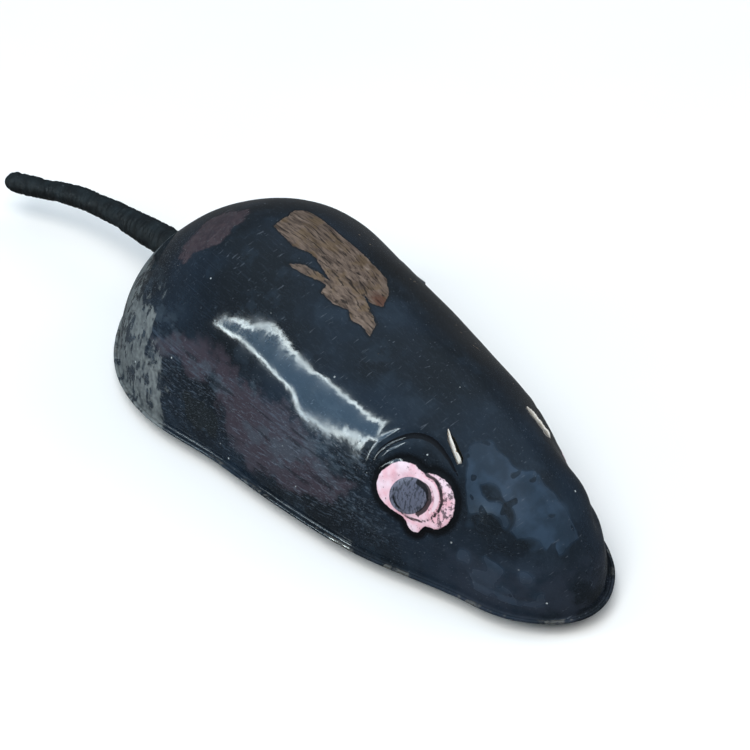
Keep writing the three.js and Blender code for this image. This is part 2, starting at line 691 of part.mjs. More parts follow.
// Turns a closed surface right side out when its volume comes out negative.
function facingOut(geometry) {
  const solid = mergeVertices(geometry);
  const corner = [0, 1, 2].map(() => new THREE.Vector3());
  let volume = 0;
  for (let i = 0; i < solid.index.count; i += 3) {
    corner.forEach((p, n) => p.fromBufferAttribute(solid.attributes.position, solid.index.getX(i + n)));
    volume += corner[0].dot(corner[1].clone().cross(corner[2]));
  }
  if (volume >= 0) return solid;
  const flipped = Array.from(solid.index.array);
  for (let i = 0; i < flipped.length; i += 3) [flipped[i], flipped[i + 1]] = [flipped[i + 1], flipped[i]];
  solid.setIndex(flipped);
  solid.computeVertexNormals();
  return solid;
}

// ---------- front wheel ----------
// A tongue from the front strap that splits into two ears beside the front wheel.
function frontArm() {
  const start = FRONT_STRAP.u - 2;
  const neck = FRONT_WHEEL_U - FRONT_WHEEL_RADIUS - 1.2;
  const end = FRONT_WHEEL_U + 2;
  const outline = new THREE.Shape([
    new THREE.Vector2(-FORK_OUTER, -start), new THREE.Vector2(-FORK_OUTER, -end),
    new THREE.Vector2(-FORK_INNER, -end), new THREE.Vector2(-FORK_INNER, -neck),
    new THREE.Vector2(FORK_INNER, -neck), new THREE.Vector2(FORK_INNER, -end),
    new THREE.Vector2(FORK_OUTER, -end), new THREE.Vector2(FORK_OUTER, -start),
  ]);
  const tongue = new THREE.ExtrudeGeometry(outline, { depth: PLATE, bevelEnabled: false });
  tongue.translate(0, 0, ARM_BOTTOM);
  const ears = [-1, 1].map((side) => {
    const corners = [[-4, ARM_BOTTOM], [2, ARM_BOTTOM], [2, 3.2], [1, 4.2], [-1, 4.2], [-4, 2]];
    const shape = new THREE.Shape(corners.map(([along, h]) => sidePoint(FRONT_WHEEL_U + along, h)));
    const layer = side > 0 ? [FORK_INNER, FORK_OUTER] : [-FORK_OUTER, -FORK_INNER];
    return sideExtrude(shape, layer);
  });
  const pinHole = new THREE.CylinderGeometry(FRONT_PIN + 0.08, FRONT_PIN + 0.08, 12, 16);
  pinHole.rotateZ(Math.PI / 2);
  pinHole.translate(0, -FRONT_WHEEL.u, FRONT_WHEEL.h);
  const geometry = cut(join(tongue, ...ears), pinHole, armRivetHole(FRONT_STRAP.u));
  geometry.translate(0, REAR_Y, RIM_ABOVE_GROUND);
  return named('front_wheel_arm', geometry, 'tinplate');
}

function armRivetHole(u) {
  const radius = ARM_RIVET + 0.1;
  const hole = new THREE.CylinderGeometry(radius, radius, 8, 12);
  hole.rotateX(Math.PI / 2);
  hole.translate(0, -u, 0);
  return hole;
}

function armRivet() {
  const top = ARM_BOTTOM + PLATE + SEAT_GAP;
  const bottom = STRAP_BOTTOM - SEAT_GAP;
  const profile = [
    [0, bottom - 0.5], [1.0, bottom - 0.5], [1.5, bottom], [ARM_RIVET, bottom], [ARM_RIVET, top], [1.4, top],
    [0.9, top + 0.5], [0, top + 0.5],
  ].map(([radius, z]) => new THREE.Vector2(radius, z));
  const geometry = new THREE.LatheGeometry(profile, 12);
  geometry.rotateX(Math.PI / 2);
  geometry.translate(0, REAR_Y - FRONT_STRAP.u, RIM_ABOVE_GROUND);
  return named('arm_rivet', geometry, 'steel');
}

function frontAxle() {
  const back = FORK_OUTER + SEAT_GAP;
  const geometry = turned([
    [-back - 0.5, 0], [-back - 0.5, 0.9], [-back, 1.2], [-back, FRONT_PIN], [back, FRONT_PIN], [back, 1.2],
    [back + 0.5, 0.9], [back + 0.5, 0],
  ], 12);
  return place(named('front_axle', geometry, 'steel'), FRONT_WHEEL);
}

function frontWheel() {
  const half = FRONT_WHEEL_HALF_WIDTH;
  const r = FRONT_WHEEL_RADIUS;
  const bore = FRONT_PIN + RUNNING_GAP;
  const geometry = turnedRing([
    [-half, bore], [-half, 2], [-half + 0.5, 2.3], [-half + 0.5, 3.4], [-half, 3.8], [-half, r - 0.4],
    [-half + 0.4, r], [half - 0.4, r], [half, r - 0.4], [half, 3.8], [half - 0.5, 3.4], [half - 0.5, 2.3],
    [half, 2], [half, bore],
  ], 24);
  return place(named('front_wheel', facingOut(geometry), 'tinplate'), FRONT_WHEEL);
}

// ---------- assembly ----------
const mouse = new THREE.Group();
mouse.add(bodyShell());
mouse.add(tail());
mouse.add(earStub(1, 'left_ear_stub'), earStub(-1, 'right_ear_stub'));
mouse.add(sidePlate(1, 'left_side_plate'), sidePlate(-1, 'right_side_plate'));
Object.entries(PILLARS).forEach(([name, spot]) => mouse.add(pillar(name, spot)));
mouse.add(crossStrap('rear_cross_strap', REAR_STRAP));
mouse.add(crossStrap('front_cross_strap', FRONT_STRAP, [armRivetHole(0)]));
mouse.add(mainspring());
mouse.add(windingArbor(), ratchetWheel());
mouse.add(greatWheel(), clickSpring(), clickRivet());
mouse.add(middleArbor(), middlePinion(), middleWheel());
mouse.add(driveAxle(), axlePinion());
mouse.add(driveWheel(1, 'left_drive_wheel'), driveWheel(-1, 'right_drive_wheel'));
mouse.add(driveTyre(1, 'left_tyre'), driveTyre(-1, 'right_tyre'));
mouse.add(frontArm(), armRivet(), frontAxle(), frontWheel());

export default mouse;
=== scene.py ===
"""Looks of the clockwork tin mouse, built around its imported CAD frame."""

import math
from functools import reduce

import bmesh
import bpy
import numpy as np
from mathutils import Matrix, Vector, noise


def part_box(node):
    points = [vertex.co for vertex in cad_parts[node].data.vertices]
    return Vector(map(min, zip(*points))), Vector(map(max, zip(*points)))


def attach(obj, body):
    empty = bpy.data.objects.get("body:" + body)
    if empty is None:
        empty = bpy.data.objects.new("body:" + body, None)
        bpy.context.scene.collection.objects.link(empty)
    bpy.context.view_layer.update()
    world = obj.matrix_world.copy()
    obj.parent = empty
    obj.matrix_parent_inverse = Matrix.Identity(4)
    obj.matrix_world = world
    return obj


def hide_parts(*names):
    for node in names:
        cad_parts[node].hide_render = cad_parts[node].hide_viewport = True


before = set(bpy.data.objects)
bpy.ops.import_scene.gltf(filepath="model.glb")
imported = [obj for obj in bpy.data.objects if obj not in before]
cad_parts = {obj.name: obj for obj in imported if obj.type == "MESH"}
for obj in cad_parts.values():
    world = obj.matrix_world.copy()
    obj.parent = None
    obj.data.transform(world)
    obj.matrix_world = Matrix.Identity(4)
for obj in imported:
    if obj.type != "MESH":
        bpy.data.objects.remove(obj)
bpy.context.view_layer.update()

# Lengths below are in millimetres unless they say metres: u runs from the rear rim towards the nose,
# x to the mouse's left and h upwards from the rim.
MM = 0.001
BODY_LENGTH = 95
FLANGE = 0.9
TIN = 0.4
# Body form: fraction of the length, half width and height.
STATIONS = np.array(
    [
        (0.05, 11.5, 11.5), (0.14, 18.4, 19.5), (0.25, 21.1, 25.3), (0.40, 19.4, 26.6),
        (0.55, 18.1, 23.4), (0.70, 15.8, 22.4), (0.85, 11.0, 18.8), (0.95, 7.4, 11.6),
    ]
)
POWER = 1.9
SPINE = (0.18 * BODY_LENGTH, 0.93 * BODY_LENGTH)
shell_low, shell_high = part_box("body_shell")
REAR_Y = shell_high.y / MM - FLANGE
RIM_Z = shell_low.z / MM


def centre(node):
    """Middle of a CAD node's box, in millimetres."""
    low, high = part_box(node)
    return (low + high) / (2 * MM)


def ends(node, axis=0):
    """Lowest and highest place of a CAD node along an axis, in millimetres."""
    low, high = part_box(node)
    return low[axis] / MM, high[axis] / MM


# ---------- meshes ----------
def mesh_object(name, points, faces, materials, sharp=40, kinds=None):
    """A smooth-shaded mesh from points in millimetres."""
    mesh = bpy.data.meshes.new(name)
    mesh.from_pydata([tuple(float(c) * MM for c in p) for p in points], [], faces)
    for material in materials:
        mesh.materials.append(material)
    if kinds is not None:
        mesh.polygons.foreach_set("material_index", kinds)
    tidy = bmesh.new()
    tidy.from_mesh(mesh)
    bmesh.ops.remove_doubles(tidy, verts=tidy.verts, dist=2e-6)
    bmesh.ops.dissolve_degenerate(tidy, edges=tidy.edges, dist=1e-7)
    bmesh.ops.recalc_face_normals(tidy, faces=tidy.faces)
    tidy.to_mesh(mesh)
    tidy.free()
    mesh.shade_smooth()
    mesh.set_sharp_from_angle(angle=math.radians(sharp))
    thing = bpy.data.objects.new(name, mesh)
    bpy.context.scene.collection.objects.link(thing)
    return thing


def grid_faces(rows, columns, wrap=True):
    faces = []
    for j in range(rows - 1):
        for k in range(columns if wrap else columns - 1):
            after = (k + 1) % columns
            here, above = j * columns, (j + 1) * columns
            faces.append((here + k, here + after, above + after, above + k))
    return faces


def rounded(profile, radius, steps=4):
    """The profile with each corner replaced by a small curve."""
    points = [np.array(p, float) for p in profile]
    out = [points[0]]
    for before, corner, after in zip(points, points[1:], points[2:]):
        back, on = before - corner, after - corner
        reach = min(radius, np.linalg.norm(back) * 0.45, np.linalg.norm(on) * 0.45)
        start = corner + back / np.linalg.norm(back) * reach
        end = corner + on / np.linalg.norm(on) * reach
        for i in range(steps + 1):
            t = i / steps
            out.append((1 - t) ** 2 * start + 2 * t * (1 - t) * corner + t * t * end)
    out.append(points[-1])
    return out


def rings(outline, segments, at=(0, 0, 0), axis="x", ripple=None):
    """Points of circles about an axis through at, for (place along it, radius) pairs."""
    points = []
    for along, r in outline:
        for k in range(segments):
            angle = 2 * math.pi * k / segments
            reach = r + (ripple(r, k) if ripple else 0)
            across, up = reach * math.cos(angle), reach * math.sin(angle)
            local = (along, across, up) if axis == "x" else (across, up, along)
            points.append(tuple(a + b for a, b in zip(at, local)))
    return points


def lathe(name, node, body, look, profile, radius, segments, on=None, axis="x", ripple=None):
    """A turned piece for a CAD node, on that node's axis or on another's."""
    outline = rounded(profile, radius)
    at = centre(on or node)
    at["xyz".index(axis)] = 0
    points = rings(outline, segments, at, axis, ripple)
    faces = grid_faces(len(outline), segments)
    if profile[0][1] > 0 and profile[0] == profile[-1]:
        points = points[:-segments]
        faces = [tuple(i % len(points) for i in face) for face in faces]
    settle(mesh_object(name, points, faces, [LOOKS[look]]), body, node, look)


def mirrored(half):
    """A profile that is the same at both ends, from its half on the positive side."""
    return [(-along, r) for along, r in half[::-1]] + half


def settle(thing, body, node, slot):
    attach(thing, body)
    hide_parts(node)


# ---------- node materials ----------
def srgb(r, g, b):
    """A display colour, 0 to 255, as linear values."""
    values = [c / 255 for c in (r, g, b)]
    return tuple(c / 12.92 if c <= 0.04045 else ((c + 0.055) / 1.055) ** 2.4 for c in values) + (1.0,)


class Paint:
    """A principled material and short calls for the nodes that feed it."""

    def __init__(self, name):
        self.material = bpy.data.materials.new(name)
        self.material.use_nodes = True
        self.tree = self.material.node_tree
        self.shader = self.tree.nodes["Principled BSDF"]
        place = self.node("ShaderNodeTexCoord").outputs["Object"]
        self.mm = self.scaled(place, 1 / MM)

    def node(self, kind, sockets=None, **settings):
        """A new node; sockets maps its inputs to links, numbers or display colours."""
        made = self.tree.nodes.new(kind)
        for key, value in settings.items():
            setattr(made, key, value)
        for key, value in (sockets or {}).items():
            self.feed(made.inputs[key], value)
        return made

    def feed(self, socket, value):
        if isinstance(value, bpy.types.NodeSocket):
            self.tree.links.new(value, socket)
        elif socket.type == "RGBA":
            socket.default_value = srgb(*value)
        else:
            socket.default_value = value

    def vector_math(self, operation, a, b):
        return self.node("ShaderNodeVectorMath", {0: a, 1: b}, operation=operation).outputs[0]

    def scaled(self, vector, by):
        return self.vector_math("MULTIPLY", vector, by if isinstance(by, tuple) else (by, by, by))

    def turned(self, angles):
        return self.node("ShaderNodeMapping", {"Vector": self.mm, "Rotation": angles}).outputs[0]

    def warped(self, scale, amount):
        """The place pushed about by a noise of that scale and amount."""
        push = self.node("ShaderNodeTexNoise", {"Vector": self.mm, "Scale": scale}).outputs["Color"]
        centred = self.vector_math("SUBTRACT", push, (0.5, 0.5, 0.5))
        return self.vector_math("ADD", self.mm, self.scaled(centred, amount))

    def axis(self, letter):
        return self.node("ShaderNodeSeparateXYZ", {0: self.mm}).outputs[letter]

    def noise(self, scale, detail=3, stretch=None, vector=None, roughness=0.5, seed=0):
        at = vector or self.mm
        sockets = {"Vector": self.scaled(at, stretch) if stretch else at, "W": seed, "Scale": scale}
        sockets |= {"Detail": detail, "Roughness": roughness}
        return self.node("ShaderNodeTexNoise", sockets, noise_dimensions="4D").outputs["Fac"]

    def cells(self, scale):
        return self.node("ShaderNodeTexVoronoi", {"Vector": self.mm, "Scale": scale}).outputs["Distance"]

    def attribute(self, name):
        return self.node("ShaderNodeAttribute", attribute_name=name).outputs["Fac"]

    def edge(self, name, ragged, amount):
        """The distance in that attribute, made uneven by a noise."""
        return self.plus(self.attribute(name), self.product(ragged, amount))

    def math(self, operation, a, b):
        return self.node("ShaderNodeMath", {0: a, 1: b}, operation=operation).outputs[0]

    def plus(self, a, b):
        return self.math("ADD", a, b)

    def minus(self, a, b):
        return self.math("SUBTRACT", a, b)

    def product(self, *factors):
        return reduce(lambda a, b: self.math("MULTIPLY", a, b), factors)

    def most(self, a, b):
        return self.math("MAXIMUM", a, b)

    def step(self, value, start, end):
        """0 at start, 1 at end, smooth between and clamped outside."""
        low, high = sorted((start, end))
        falls = start > end
        sockets = {"Value": value, "From Min": low, "From Max": high}
        sockets |= {"To Min": float(falls), "To Max": float(not falls)}
        return self.node("ShaderNodeMapRange", sockets, interpolation_type="SMOOTHSTEP").outputs["Result"]

    def mix(self, factor, a, b):
        return self.node("ShaderNodeMix", {"Factor": factor, 6: a, 7: b}, data_type="RGBA").outputs[2]

    def blend(self, factor, a, b):
        return self.node("ShaderNodeMix", {"Factor": factor, 2: a, 3: b}, data_type="FLOAT").outputs[0]

    def finish(self, colour, roughness, height, metallic=0.0, distance=1e-4, **values):
        """Links the shader; height is in units of the bump distance, which is in metres."""
        bump = self.node("ShaderNodeBump", {"Distance": distance, "Height": height}).outputs[0]
        links = {"Base Color": colour, "Roughness": roughness, "Metallic": metallic, "Normal": bump}
        for key, value in links.items():
            self.feed(self.shader.inputs[key], value)
        for key, value in values.items():
            self.shader.inputs[key.replace("_", " ")].default_value = value
        return self.material


def metal(name, base, worn, stain, roughness, grain, seed):
    """Sheet or turned metal: drawn grain, stains, pits and slightly polished high spots."""
    p = Paint(name)
    long_grain = p.noise(1.0, 4, stretch=grain, seed=seed)
    cloud = p.noise(0.35, 5, seed=seed + 1, roughness=0.65)
    spots = p.step(p.noise(1.6, 4, seed=seed + 2), 0.58, 0.7)
    colour = p.mix(p.step(cloud, 0.35, 0.7), base, worn)
    colour = p.mix(p.product(spots, 0.75), colour, stain)
    colour = p.mix(p.product(p.step(long_grain, 0.45, 0.75), 0.35), colour, worn)
    rough = p.blend(p.step(cloud, 0.3, 0.7), roughness, roughness + 0.22)
    rough = p.blend(spots, rough, 0.75)
    relief = p.plus(p.product(long_grain, 0.25), p.product(spots, -0.35))
    return p.finish(colour, rough, relief, metallic=p.blend(spots, 1.0, 0.35), distance=4e-5)


def rubber(name, base, worn, seed, ridges):
    p = Paint(name)
    fine = p.noise(4.0, 5, seed=seed, roughness=0.7)
    cloud = p.noise(0.5, 4, seed=seed + 1)
    colour = p.mix(p.step(cloud, 0.35, 0.75), base, worn)
    dust = p.step(p.noise(2.2, 3, seed=seed + 3), 0.62, 0.72)
    colour = p.mix(p.product(dust, 0.2), colour, (90, 98, 100))
    relief = p.plus(p.product(fine, 0.6), p.product(p.noise(1.3, 3, seed=seed + 2), ridges))
    return p.finish(colour, p.blend(cloud, 0.42, 0.68), relief, distance=1.2e-4)


def leather():
    p = Paint("leather")
    fibres = p.noise(1.0, 5, stretch=(5.0, 5.0, 1.6), seed=61, roughness=0.7)
    colour = p.mix(p.step(fibres, 0.35, 0.65), (196, 190, 180), (228, 226, 220))
    colour = p.mix(p.step(p.noise(1.1, 3, seed=62), 0.6, 0.7), colour, (150, 132, 110))
    return p.finish(colour, 0.75, fibres, distance=8e-5)


def enamel():
    """Glossy blue-black enamel with blooms partly painted as reflection, painted sheen and shade, scratches,
    a bare patch, painted eyes and a worn rim.
    """
    p = Paint("enamel")
    u = p.minus(REAR_Y, p.axis("Y"))
    x = p.axis("X")
    h = p.minus(p.axis("Z"), RIM_Z)
    broad = p.noise(0.07, 4, seed=1, roughness=0.55)
    medium = p.noise(0.28, 5, seed=2, roughness=0.6)
    fine = p.noise(1.4, 5, seed=3, roughness=0.65)
    along_body = p.turned((0.05, 0.0, 0.06))
    streaks = p.noise(1.0, 4, stretch=(3.4, 0.07, 3.4), vector=along_body, seed=4, roughness=0.6)
    hairs = p.noise(1.0, 2, stretch=(9.0, 0.12, 9.0), vector=p.turned((0.12, 0.0, 0.1)), seed=5)
    crossing = p.noise(1.0, 2, stretch=(0.4, 3.4, 5.0), vector=p.turned((0.5, 0.3, 0.4)), seed=6)
    ragged = p.minus(medium, 0.5)
    frayed = p.minus(fine, 0.5)

    def coat(factor, strength, shade):
        """Lays a shade over the colour so far, that strongly where the factor is 1."""
        nonlocal colour
        colour = p.mix(p.product(factor, strength), colour, shade)

    # Base: nearly black, a little bluer where the coat is thick, and neutral on the left side, which is
    # painted shade standing in for the dim reflections on that side.
    colour = p.mix(p.step(broad, 0.35, 0.65), (19, 24, 29), (27, 37, 48))
    coat(p.step(medium, 0.5, 0.66), 0.4, (36, 47, 58))
    # Painted shade: the left side made neutral grey-black.
    coat(p.step(x, 3.0, 9.0), 0.6, (24, 25, 25))

    # Flanks: thin purple-brown coat, pale haze, scuffs along the body and a dark island.
    low = p.product(p.step(h, 15.5, 12.5), p.step(h, 1.0, 4.0), p.step(u, 8.0, 26.0), p.step(u, 79.0, 64.0))
    flank = p.product(p.step(p.edge("plum", ragged, 9.0), 0.9, -0.9), p.step(h, 17.0, 14.5))
    coat(flank, 0.85, p.mix(p.step(broad, 0.4, 0.6), (58, 52, 60), (62, 61, 70)))
    haze_noise = p.noise(0.22, 5, stretch=(1.0, 0.5, 1.0), seed=8, roughness=0.68)
    haze_place = p.product(p.step(h, 19.0, 13.0), p.step(u, 10.0, 18.0), p.step(u, 72.0, 62.0))
    coat(p.product(p.step(haze_noise, 0.53, 0.6), haze_place), 0.42, (66, 78, 88))
    scuff = p.product(p.step(streaks, 0.52, 0.64), p.most(p.product(low, 0.9), 0.12))
    coat(scuff, 0.35, (84, 98, 114))
    dark_noise = p.noise(1.0, 4, stretch=(1.2, 0.09, 1.2), seed=9)
    coat(p.product(p.step(dark_noise, 0.54, 0.64), low), 0.6, (18, 23, 29))
    coat(p.step(p.edge("island", ragged, 6.0), 0.3, -0.3), 0.85, (26, 31, 34))

    # Worn rump: reddish brown, with straight pale scratches.
    rump = p.step(p.edge("rump", ragged, 7.0), 0.35, -0.35)
    coat(rump, 0.85, p.mix(p.step(fine, 0.4, 0.65), (52, 44, 50), (74, 62, 66)))
    scratch_noise = p.noise(1.0, 1, stretch=(6.0, 6.0, 0.5), vector=p.turned((0.2, 1.1, 0.3)), seed=10)
    scratches = p.product(p.step(scratch_noise, 0.63, 0.68), p.most(rump, p.step(u, 24.0, 14.0)))
    coat(scratches, 0.6, (112, 118, 122))

    # Grey round the rear, partly a dull film and partly painted sheen standing in for grazing reflection,
    # mottled and broken by dark blotches.
    blotches = p.step(p.noise(0.55, 5, stretch=(1.0, 1.0, 0.45), seed=18, roughness=0.7), 0.56, 0.5)
    film_and_painted_sheen = p.product(p.step(p.edge("film_and_painted_sheen", ragged, 15.0), 0.9, -0.9), p.blend(blotches, 0.12, 1.0))
    coat(film_and_painted_sheen, 0.85, p.mix(p.step(fine, 0.38, 0.62), (84, 90, 92), (118, 124, 124)))

    # Slate bloom on the head, partly painted reflection of the light overhead, with drip-shaped gaps, and a
    # dull muzzle.
    soft = p.warped(0.25, 1.6)
    bloom_and_reflection_noise = p.minus(p.noise(0.34, 0, vector=soft, seed=11), 0.5)
    gaps = p.step(p.noise(0.5, 0, vector=soft, seed=12), 0.66, 0.70)
    bloom_and_painted_reflection = p.product(p.step(p.edge("bloom_and_painted_reflection", bloom_and_reflection_noise, 3.0), 0.3, -0.35), p.blend(gaps, 1.0, 0.15))
    coat(bloom_and_painted_reflection, 0.85, p.mix(p.step(medium, 0.4, 0.62), (32, 46, 60), (44, 61, 79)))
    muzzle = p.product(p.step(u, 74.0, 84.0), p.step(h, 9.5, 5.0), p.step(medium, 0.42, 0.58))
    coat(muzzle, 0.6, (38, 43, 53))

    # Fine hairlines everywhere, denser low down.
    hair = p.product(p.step(hairs, 0.60, 0.68), p.most(p.product(low, 0.7), 0.1))
    cross = p.product(p.step(crossing, 0.655, 0.70), 0.3)
    coat(p.most(p.product(hair, 0.6), cross), 1, (104, 112, 122))

    # Bare patch on the back: brown primer and tin with a wood-like grain and a rusty corner, and a painted
    # shadow line round its edge.
    torn = p.minus(p.noise(2.6, 4, stretch=(1.0, 0.5, 1.0), seed=13), 0.5)
    patch_distance = p.edge("patch", torn, 0.55)
    patch = p.step(patch_distance, 0.03, -0.05)
    swirled = p.warped(0.25, 0.8)
    grain = p.noise(1.0, 5, stretch=(2.4, 0.28, 2.4), vector=swirled, roughness=0.62, seed=14)
    ochre = p.step(p.noise(0.5, 4, seed=15), 0.5, 0.62)
    rust = p.step(p.edge("rust", fine, 3.4), 4.4, 2.6)
    crack = p.step(p.noise(1.0, 3, stretch=(2.8, 0.12, 2.8), vector=swirled, seed=16), 0.585, 0.61)
    bare = p.mix(p.step(grain, 0.34, 0.6), (60, 50, 44), (112, 97, 86))
    bare = p.mix(p.step(grain, 0.58, 0.75), bare, (148, 134, 122))
    bare = p.mix(p.product(ochre, 0.45), bare, (98, 80, 54))
    bare = p.mix(p.product(rust, 0.65), bare, (80, 44, 30))
    bare = p.mix(p.product(crack, 0.85), bare, (32, 27, 24))
    # Painted shadow: a dark line just outside the patch's edge.
    coat(p.product(p.step(patch_distance, 0.45, 0.05), p.minus(1.0, patch)), 0.7, (12, 14, 16))
    coat(patch, 1, bare)

    # Chips down to the tin along the left shoulder and here and there.
    chip_noise = p.noise(0.9, 4, seed=17, roughness=0.7)
    ridge = p.product(p.step(x, 6.5, 9.0), p.step(h, 9.0, 13.0), p.step(u, 26.0, 34.0), p.step(u, 82.0, 76.0))
    chips = p.step(p.minus(chip_noise, p.blend(ridge, 0.735, 0.635)), 0.0, 0.02)
    coat(chips, 1, (128, 114, 96))

    # Painted eyes: black socket, pink ring, a black pupil with a slate painted reflection, a pale crescent
    # that is partly pink paint and partly painted highlight, and the dark lines of the pressing.
    pink_distance = p.edge("pink", frayed, 0.5)
    coat(p.step(pink_distance, 1.5, 0.7), 0.95, (9, 11, 14))
    ring = p.mix(p.step(p.noise(0.45, 4, seed=21), 0.35, 0.65), (216, 166, 178), (226, 205, 216))
    front = p.step(p.attribute("eye_along"), 1.0, 3.6)
    chip = p.step(p.plus(p.noise(1.5, 5, seed=22, roughness=0.75), p.product(front, 0.09)), 0.60, 0.63)
    ring = p.mix(p.product(chip, 0.85), ring, (44, 38, 46))
    smudge = p.step(p.noise(0.9, 2, seed=23), 0.45, 0.7)
    ring = p.mix(p.product(smudge, 0.35), ring, (178, 142, 156))
    pink = p.step(pink_distance, 0.06, -0.06)
    coat(pink, 1, ring)
    scrape = p.step(p.noise(1.0, 4, stretch=(2.6, 2.6, 0.8), seed=24, roughness=0.7), 0.5, 0.56)
    # Painted reflection: the black pupil coloured slate grey, with darker scrapes.
    pupil_painted_reflection = p.mix(p.step(p.attribute("pupil"), -0.35, -0.5), (98, 100, 116), (84, 88, 104))
    pupil_painted_reflection = p.mix(p.product(scrape, 0.8), pupil_painted_reflection, (34, 38, 48))
    coat(p.step(p.attribute("pupil"), 0.05, -0.05), 1, pupil_painted_reflection)
    # Pale crescent: partly pink paint, partly a painted highlight.
    coat(p.step(p.attribute("crescent"), 0.05, -0.05), 1, (222, 196, 206))
    coat(p.step(p.edge("line", frayed, 0.25), 0.05, -0.05), 0.93, (10, 10, 13))

    # Dust specks, and a rim rubbed through to the tin on its lip.
    speck = p.product(p.step(p.cells(0.36), 0.062, 0.04), p.step(p.noise(0.8, 2, seed=25), 0.5, 0.6))
    coat(speck, 0.8, (196, 204, 206))
    lip = p.step(p.edge("lip", frayed, 0.5), 0.42, 0.58)
    wear = p.product(lip, p.step(p.noise(0.22, 5, seed=27, roughness=0.65), 0.5, 0.58))
    coat(wear, 0.9, (132, 132, 128))

    gone = p.most(patch, chips)
    scuffed = p.product(low, p.step(h, 13.5, 9.0), p.step(streaks, 0.4, 0.65))
    rump_dull = p.product(rump, 0.8)
    rough = p.blend(p.step(medium, 0.35, 0.7), 0.06, 0.11)
    duller = [(scuffed, 0.3), (film_and_painted_sheen, 0.5), (rump_dull, 0.36), (bloom_and_painted_reflection, 0.38), (gone, 0.62), (pink, 0.38)]
    for place, value in duller:
        rough = p.blend(place, rough, value)
    height = p.product(p.noise(0.5, 2, seed=31), 0.28)
    lifts = [
        (fine, 0.04), (scuff, -0.02), (hair, -0.03), (gone, -0.9), (p.product(gone, grain), 0.5),
        (pink, 0.25), (p.product(pink, chip), -0.35), (speck, 0.4), (bloom_and_painted_reflection, 0.1),
    ]
    for place, lift in lifts:
        height = p.plus(height, p.product(place, lift))
    metallic = p.blend(wear, p.product(gone, 0.15), 0.8)
    return p.finish(colour, rough, height, metallic=metallic, distance=6e-5, Specular_IOR_Level=0.4)


# Name, base, worn and stain colours, roughness, grain stretch and seed of each bare metal.
METALS = {
    "inside": ("shell_inside", (92, 88, 80), (132, 127, 115), (74, 52, 36), 0.38, (1.2, 0.2, 1.2), 41),
    "tinplate": ("tinplate", (158, 158, 152), (190, 190, 184), (92, 78, 62), 0.3, (0.4, 3.0, 3.0), 43),
    "steel": ("steel", (132, 134, 138), (172, 174, 178), (70, 56, 46), 0.28, (0.3, 5.0, 5.0), 45),
    "blued_spring": ("blued_spring", (44, 52, 70), (78, 88, 108), (58, 44, 40), 0.26, (0.25, 4.0, 4.0), 47),
    "brass": ("brass", (176, 142, 72), (206, 176, 104), (96, 72, 40), 0.3, (3.0, 3.0, 0.6), 49),
}
LOOKS = {look: metal(*values) for look, values in METALS.items()}
LOOKS["enamel"] = enamel()
LOOKS["leather"] = leather()
LOOKS["rubber"] = rubber("rubber", (20, 22, 24), (34, 37, 39), 51, 0.4)
LOOKS["tail"] = rubber("tail_rubber", (8, 12, 13), (24, 32, 35), 55, 0.5)


# ---------- body surface ----------
def round_ends(s):
    return 2 * np.sqrt(np.clip(s * (1 - s), 0, None))


def section_value(s, column):
    """Half width (column 1) or height (column 2) of the body at fraction s of its length."""
    knots = STATIONS[:, 0]
    values = STATIONS[:, column] / round_ends(knots)
    slopes = np.zeros(len(knots))
    slopes[1:-1] = (values[2:] - values[:-2]) / (knots[2:] - knots[:-2])
    held = np.clip(s, knots[0], knots[-1])
    i = np.clip(np.searchsorted(knots, held, "right") - 1, 0, len(knots) - 2)
    span = knots[i + 1] - knots[i]
    t = (held - knots[i]) / span
    rise = (1 + 2 * t) * (1 - t) ** 2 * values[i] + t * t * (3 - 2 * t) * values[i + 1]
    bend = t * (1 - t) ** 2 * slopes[i] * span + t * t * (t - 1) * slopes[i + 1] * span
    return (rise + bend) * round_ends(s)


def surface_height(u, x):
    half = np.maximum(section_value(u / BODY_LENGTH, 1), 1e-9)
    across = np.minimum(np.abs(x) / half, 1)
    return section_value(u / BODY_LENGTH, 2) * (1 - across**POWER) ** (1 / POWER)


def surface_normal(u, x, h):
    """Outward normals in frame axes (x, y, z)."""
    step = 0.02

    def value(uu, xx, hh):
        half = section_value(uu / BODY_LENGTH, 1)
        top = section_value(uu / BODY_LENGTH, 2)
        return (np.abs(xx) / half) ** POWER + (np.abs(hh) / top) ** POWER

    at = np.clip(u, 2 * step, BODY_LENGTH - 2 * step)
    slopes = np.stack(
        [
            value(at, x + step, h) - value(at, x - step, h),
            value(at - step, x, h) - value(at + step, x, h),
            value(at, x, h + step) - value(at, x, h - step),
        ],
        -1,
    )
    return slopes / np.linalg.norm(slopes, axis=-1, keepdims=True)


def segment_distance(px, py, a, b):
    """Distance to the segment from a to b, and the fraction along it of the nearest point."""
    dx, dy = b[0] - a[0], b[1] - a[1]
    t = np.clip(((px - a[0]) * dx + (py - a[1]) * dy) / (dx * dx + dy * dy), 0, 1)
    return np.hypot(px - a[0] - t * dx, py - a[1] - t * dy), t


def polygon_distance(px, py, outline):
    """Signed distance to a closed outline, negative inside."""
    best = np.full(px.shape, 1e9)
    inside = np.zeros(px.shape, bool)
    for a, b in zip(outline, outline[1:] + outline[:1]):
        best = np.minimum(best, segment_distance(px, py, a, b)[0])
        crosses = (a[1] > py) != (b[1] > py)
        rise = b[1] - a[1] or 1e-9
        inside ^= crosses & (px < (b[0] - a[0]) * (py - a[1]) / rise + a[0])
    return np.where(inside, -best, best)


